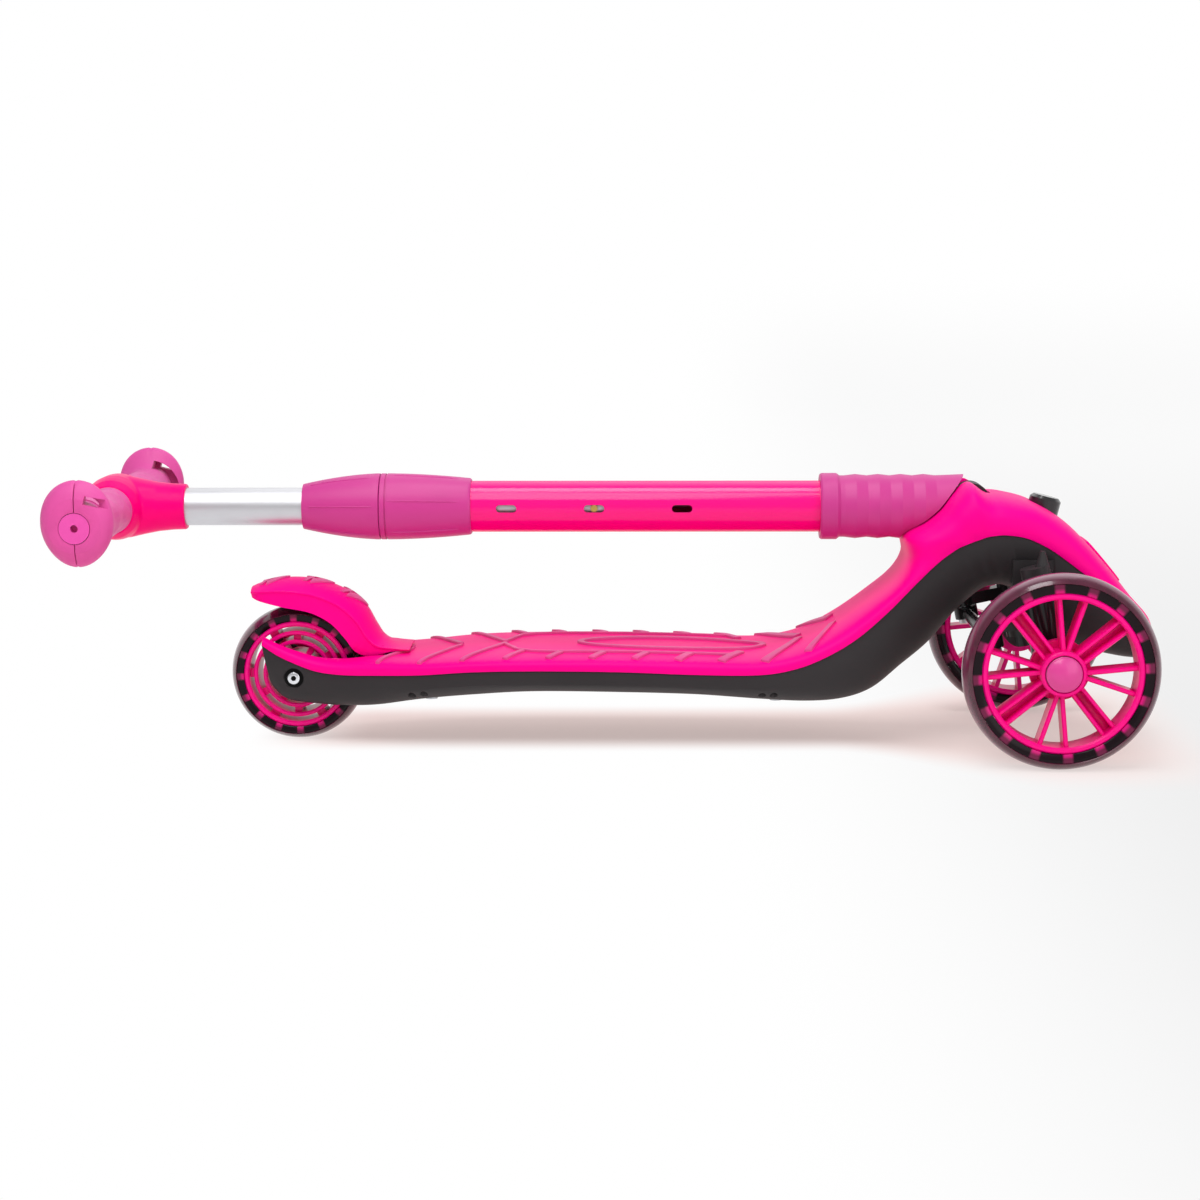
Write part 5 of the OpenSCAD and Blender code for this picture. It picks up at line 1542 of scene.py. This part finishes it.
@dataclass
class FrontWheel(Wheel):
    """A front wheel: four open box spokes and four pairs of leaning spokes."""

    spoke_w: float = 3.0
    spoke_high: float = 7.0
    spoke_low: float = -8.0
    # The pair's feet and tips in degrees from its middle, and its first angle; the boxes' one
    foot_turn: float = 4.5
    tip_turn: float = 10.2
    pair_turn: float = -6.5
    box_turn: float = 38.5

    def build(self) -> None:
        """Build the wheel and dress its cap and bearings."""
        self.tyre()
        look = Palette.get("rim_pink")
        shape = Sketch()
        self.rim_hoop(shape, self.rim_r - 0.05, self.rim_r - 4.0, self.tyre_w / 2 - 1.2, 1.0)
        # Hub: a stepped barrel, wider behind, with a collar round the cap
        shape.revolve([(11.2, -11.0), (19.4, -11.0), (19.4, -6.6), (18.8, -6.0), (14.4, -6.0),
                       (14.4, 11.7), (13.6, 12.5), (12.2, 12.5), (11.5, 11.6), (11.2, 2.0)],
                      self.place)
        made = shape.build(f"{self.name}_hub_and_hoop", look, crease=38)
        mirror = Matrix.Scale(-1, 4, (1, 0, 0)) if self.outward > 0 else Matrix()
        for label, part, first in (("pairs", self.leaning_pair(), self.pair_turn),
                                   ("boxes", self.box_spoke(), self.box_turn)):
            join(made, radial_copies(f"{self.name}_{label}", part, (4, first, 90), look,
                                     self.place @ mirror))
        self.rim(made)
        dress("cap_mauve", f"{self.name}_hub_cap")

    def bar(self, shape: Sketch, start: Flat, end: Flat, width: float, low: float,
            high: float) -> None:
        """Add one straight spoke with rounded upper edges.

        Args:
            shape: The sketch to add it to.
            start: Its inner end as x, y.
            end: Its outer end as x, y.
            width: Its width.
            low: Its lower face's height.
            high: Its upper face's height.
        """
        dx, dy = end[0] - start[0], end[1] - start[1]
        size = math.hypot(dx, dy)
        nx, ny = -dy / size, dx / size
        section = [(-0.5, low), (-0.5, high - 0.9), (-0.28, high), (0.28, high),
                   (0.5, high - 0.9), (0.5, low)]
        shape.loft([[(px + nx * width * o, py + ny * width * o, h) for o, h in section]
                    for px, py in (start, end)])

    def leaning_pair(self) -> Sketch:
        """Draw two spokes that spread apart towards the rim."""
        shape = Sketch()
        reach = self.rim_r - 3.6
        for lean in SIDES:
            tip = math.radians(lean * self.tip_turn)
            foot = math.radians(lean * self.foot_turn)
            self.bar(shape, (13.4 * math.cos(foot), 13.4 * math.sin(foot) * 1.2),
                     (reach * math.cos(tip), reach * math.sin(tip)), self.spoke_w,
                     self.spoke_low, self.spoke_high)
        return shape

    def box_spoke(self) -> Sketch:
        """Draw one open box spoke: two walls with a floor behind."""
        shape = Sketch()
        start, reach, low = 13.2, self.rim_r - 3.6, self.spoke_low
        for side in SIDES:
            self.bar(shape, (start, side * 3.4), (reach, side * 4.0), self.spoke_w - 0.4, low,
                     self.spoke_high)
        self.bar(shape, (start, 0.0), (reach, 0.0), 7.0, low + 0.2, low + 6.0)
        return shape


@dataclass
class RearWheel(Wheel):
    """The rear wheel: concentric hoops joined by staggered bridges."""

    # Each hoop: outer and inner radius, its narrowing and its lip
    hoops: tuple[Numbers, ...] = ((29.0, 26.2, 1, 0.8), (22.8, 20.0, 2, 0.8))
    # Each set of six bridges: inner and outer radius, width and first angle
    bridges: tuple[Numbers, ...] = (
        (14.2, 20.3, 4.0, 0.0), (22.5, 26.5, 5.0, 30.0), (28.7, 32.3, 6.0, 0.0))

    def build(self) -> None:
        """Build the wheel and dress its bearings."""
        self.tyre()
        look = Palette.get("rim_pink")
        half = self.tyre_w / 2 - 1
        shape = Sketch()
        self.rim_hoop(shape, self.rim_r - 0.05, self.rim_r - 3.5, half, 0.9)
        for outer, inner, narrow, lip in self.hoops:
            self.rim_hoop(shape, outer, inner, half - narrow, lip)
        shape.revolve([(11.2, -12.2), (14.5, -12.2), (14.5, 12.2), (11.2, 12.2)], self.place,
                      steps=72)
        made = shape.build(f"{self.name}_hoops", look, crease=38)
        for i, (inner, outer, wide, first) in enumerate(self.bridges):
            part = Sketch().block((inner, -wide / 2, -8), (outer, wide / 2, 8))
            join(made, radial_copies(f"{self.name}_bridges{i}", part, (6, first, 60), look,
                                     self.place))
        self.rim(made)


def steering() -> None:
    """Dress the knuckles, tie rod, bushes and bolts."""
    for side in Side:
        word = side.word
        dress("black_steel", f"{word}_knuckle")
        dress("brass", f"{word}_kingpin_bush")
        dress("zinc", f"{word}_axle_bolt", f"{word}_axle_spacers", f"{word}_rod_stud")
    dress("black_steel", "tie_rod")
    LOG.info("steering: knuckles, tie rod, bushes and bolts dressed")


# Stage and camera -------------------------------------------------------------------------


@dataclass
class Studio:
    """A pale floor that runs up into a white backdrop, soft lamps and the camera."""

    focal_mm: float = 77.7
    # The camera's right, down and forward directions, and its place from the rear axle
    right: Point = (0.9998, 0.0199, -0.0028)
    down: Point = (0.0, -0.1414, -0.9899)
    forward: Point = (-0.0201, 0.9897, -0.1414)
    stand: Point = (236.9, -1713.7, 337.8)
    # The floor's width as X from the middle, and its line as Y, Z before the curved rise,
    # which has a radius and ends in the wall's top
    wide: Numbers = (-9000.0, -1500.0, 0.0, 1500.0, 9000.0)
    ground: tuple[Flat, ...] = ((-9000.0, 0.0), (-3000.0, 0.0), (-600.0, 0.0), (600.0, 0.0),
                                (3200.0, 0.0))
    rise: float = 900.0
    wall: Flat = (4100.0, 7000.0)
    # The shadow's strip, in millimetres of the frame: its middle's Y, its half-width's fade, how
    # it widens along X, and where it fades in behind the scooter and out in front
    strip_y: float = 33.0
    strip_fade: Flat = (32.0, 88.0)
    strip_wide: Numbers = (140.0, 290.0, 1.0, 2.4)
    strip_ends: tuple[Flat, Flat] = ((-250.0, -160.0), (315.0, 405.0))
    # The same for the painted shade greying the paper to the right, as ramps along X, Z and Y
    greys: tuple[Numbers, ...] = (
        (60.0, 430.0), (0.0, 260.0, 1.0, 0.0), (-900.0, 2600.0, 1.0, 0.3))
    # The paper's colours: lit in the open, painted warm shade in the shadow's strip, painted shade
    # greying it far right, and its matte, tinted warm for the shadow
    white: Colour = (1.0, 1.0, 1.0, 1.0)
    warm: Colour = (0.95, 0.79, 0.76, 1.0)
    dim: Colour = (0.84, 0.84, 0.842, 1.0)
    matte: Colour = (0.94, 0.80, 0.775, 1.0)

    def build(self) -> None:
        """Build the floor, lamps, world and camera."""
        bpy.context.scene.view_settings.view_transform = "Standard"
        self.floor()
        self.world()
        white = self.white[:3]
        for name, place, aim, size, power, tint in (
                ("key", (-0.4, -1.2, 1.9), (0.0, 0.0, 0.1), 1.3, 24.0, white),
                ("fill", (1.3, -1.3, 0.7), (0.1, 0.0, 0.08), 1.4, 9.0, (1.0, 0.99, 0.98)),
                ("top", (0.0, -0.12, 1.6), (0.0, 0.0, 0.1), 0.5, 6.0, white),
                ("back", (0.2, 1.3, 1.9), (0.0, 0.0, 0.1), 1.6, 7.0, white)):
            self.lamp(name, place, aim, size, power, tint)
        self.camera()
        LOG.info("stage: floor, lamps and camera ready")

    def floor(self) -> None:
        """Build the floor with its curved rise behind the object."""
        (foot, level), r = self.ground[-1], self.rise
        turns = [math.radians(a) for a in range(10, 91, 10)]
        path = [*self.ground, *((foot + r * math.sin(a), level + r - r * math.cos(a))
                                for a in turns), self.wall]
        rows = [[(x - FRAME_X, y, z) for x in self.wide] for y, z in path]
        made = Sketch().loft(rows, closed=False, capped=False).build("studio_floor", self.paper())

    def paper(self) -> bpy.types.Material:
        """Build the floor's material: pale paper that keeps the soft shadow."""
        s = Shader("studio_paper")
        x, y, z = s.axes()
        # The shadow lies in a strip under the deck that is wider under the front wheels
        strip = (y - self.strip_y).size() / x.ramp(*self.strip_wide)
        behind, front = self.strip_ends
        under = x.ramp(*behind) * x.ramp(*front, 1.0, 0.0)
        far = 1.0 - strip.ramp(*self.strip_fade, 1.0, 0.0) * under
        along_x, up, along_y = self.greys
        # Painted shade: the paper greys towards the right, most low down and nearest the camera
        shade_share = x.ramp(*along_x) * z.ramp(*up) * y.ramp(*along_y)
        # Painted shade: the glow turns warm in the shadow's strip and grey towards the right
        glow = s.mix(far, self.warm, s.mix(shade_share, self.white, self.dim))
        matte = s.node("ShaderNodeBsdfDiffuse", None, {"Color": self.matte})
        light = s.node("ShaderNodeEmission", None, {"Color": glow, "Strength": 1.0})
        seen, glossy, through = (s.node("ShaderNodeLightPath", output=f"Is {kind} Ray")
                                 for kind in ("Camera", "Glossy", "Transmission"))
        share = (seen + glossy + through).ramp(0.0, 1.0) * (0.5 + 0.5 * far)
        return s.close(s.node("ShaderNodeMixShader", None, {0: share, 1: matte, 2: light}))

    def world(self) -> None:
        """Light the scene evenly from all round."""
        world = bpy.data.worlds.new("studio_light")
        bpy.context.scene.world = world
        world.use_nodes = True
        back = world.node_tree.nodes["Background"]
        back.inputs["Color"].default_value = self.white
        back.inputs["Strength"].default_value = 0.5

    def lamp(self, name: str, place: Point, aim: Point, size: float, power: float,
             tint: Point) -> None:
        """Add one soft square lamp.

        Args:
            name: Its name.
            place: Where it hangs, in metres.
            aim: What it points at, in metres.
            size: Its width in metres.
            power: Its power in watts.
            tint: Its colour.
        """
        data = bpy.data.lights.new(name, "AREA")
        data.energy, data.size, data.color = power, size, tint
        made = bpy.data.objects.new(name, data)
        made.location = place
        made.rotation_euler = (Vector(aim) - Vector(place)).to_track_quat("-Z", "Y").to_euler()
        bpy.context.scene.collection.objects.link(made)

    def camera(self) -> None:
        """Set the camera low beside the scooter, looking slightly down."""
        data = bpy.data.cameras.new("camera")
        data.lens, data.sensor_width, data.clip_end = self.focal_mm, 36.0, 50.0
        made = bpy.data.objects.new("camera", data)
        bpy.context.scene.collection.objects.link(made)
        columns = (Vector(self.right), -Vector(self.down), -Vector(self.forward))
        turn = Matrix([[column[i] for column in columns] for i in range(3)]).to_4x4()
        x, y, z = self.stand
        made.matrix_world = Matrix.Translation(((x + FRAME_X) * MM, y * MM, z * MM)) @ turn
        bpy.context.scene.camera = made


def main() -> None:
    """Build the stage and every sub-assembly in order."""
    logging.basicConfig(level=logging.INFO, format="%(name)s: %(message)s")
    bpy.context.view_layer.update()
    Studio().build()
    deck = Deck()
    deck.build()
    Fender().build()
    Stem().build()
    Bar().build()
    steering()
    for side in Side:
        FrontWheel(name=side.word, x=deck.wheelbase, y=side.value * deck.track_half,
                   z=deck.front_axle_z, radius=62.5, tyre_w=24.0, tyre_depth=11.5, turn=-0.168,
                   outward=side.value).build()
        LOG.info("%s wheel: tyre, rim and cap dressed", side.word)
    RearWheel(name="rear", x=0.0, y=0.0, z=deck.axle_z, radius=45.0, tyre_w=30.0, tyre_depth=9.5,
              turn=-0.1435).build()
    LOG.info("rear wheel: tyre and rim dressed")


if __name__ == "__main__":
    main()
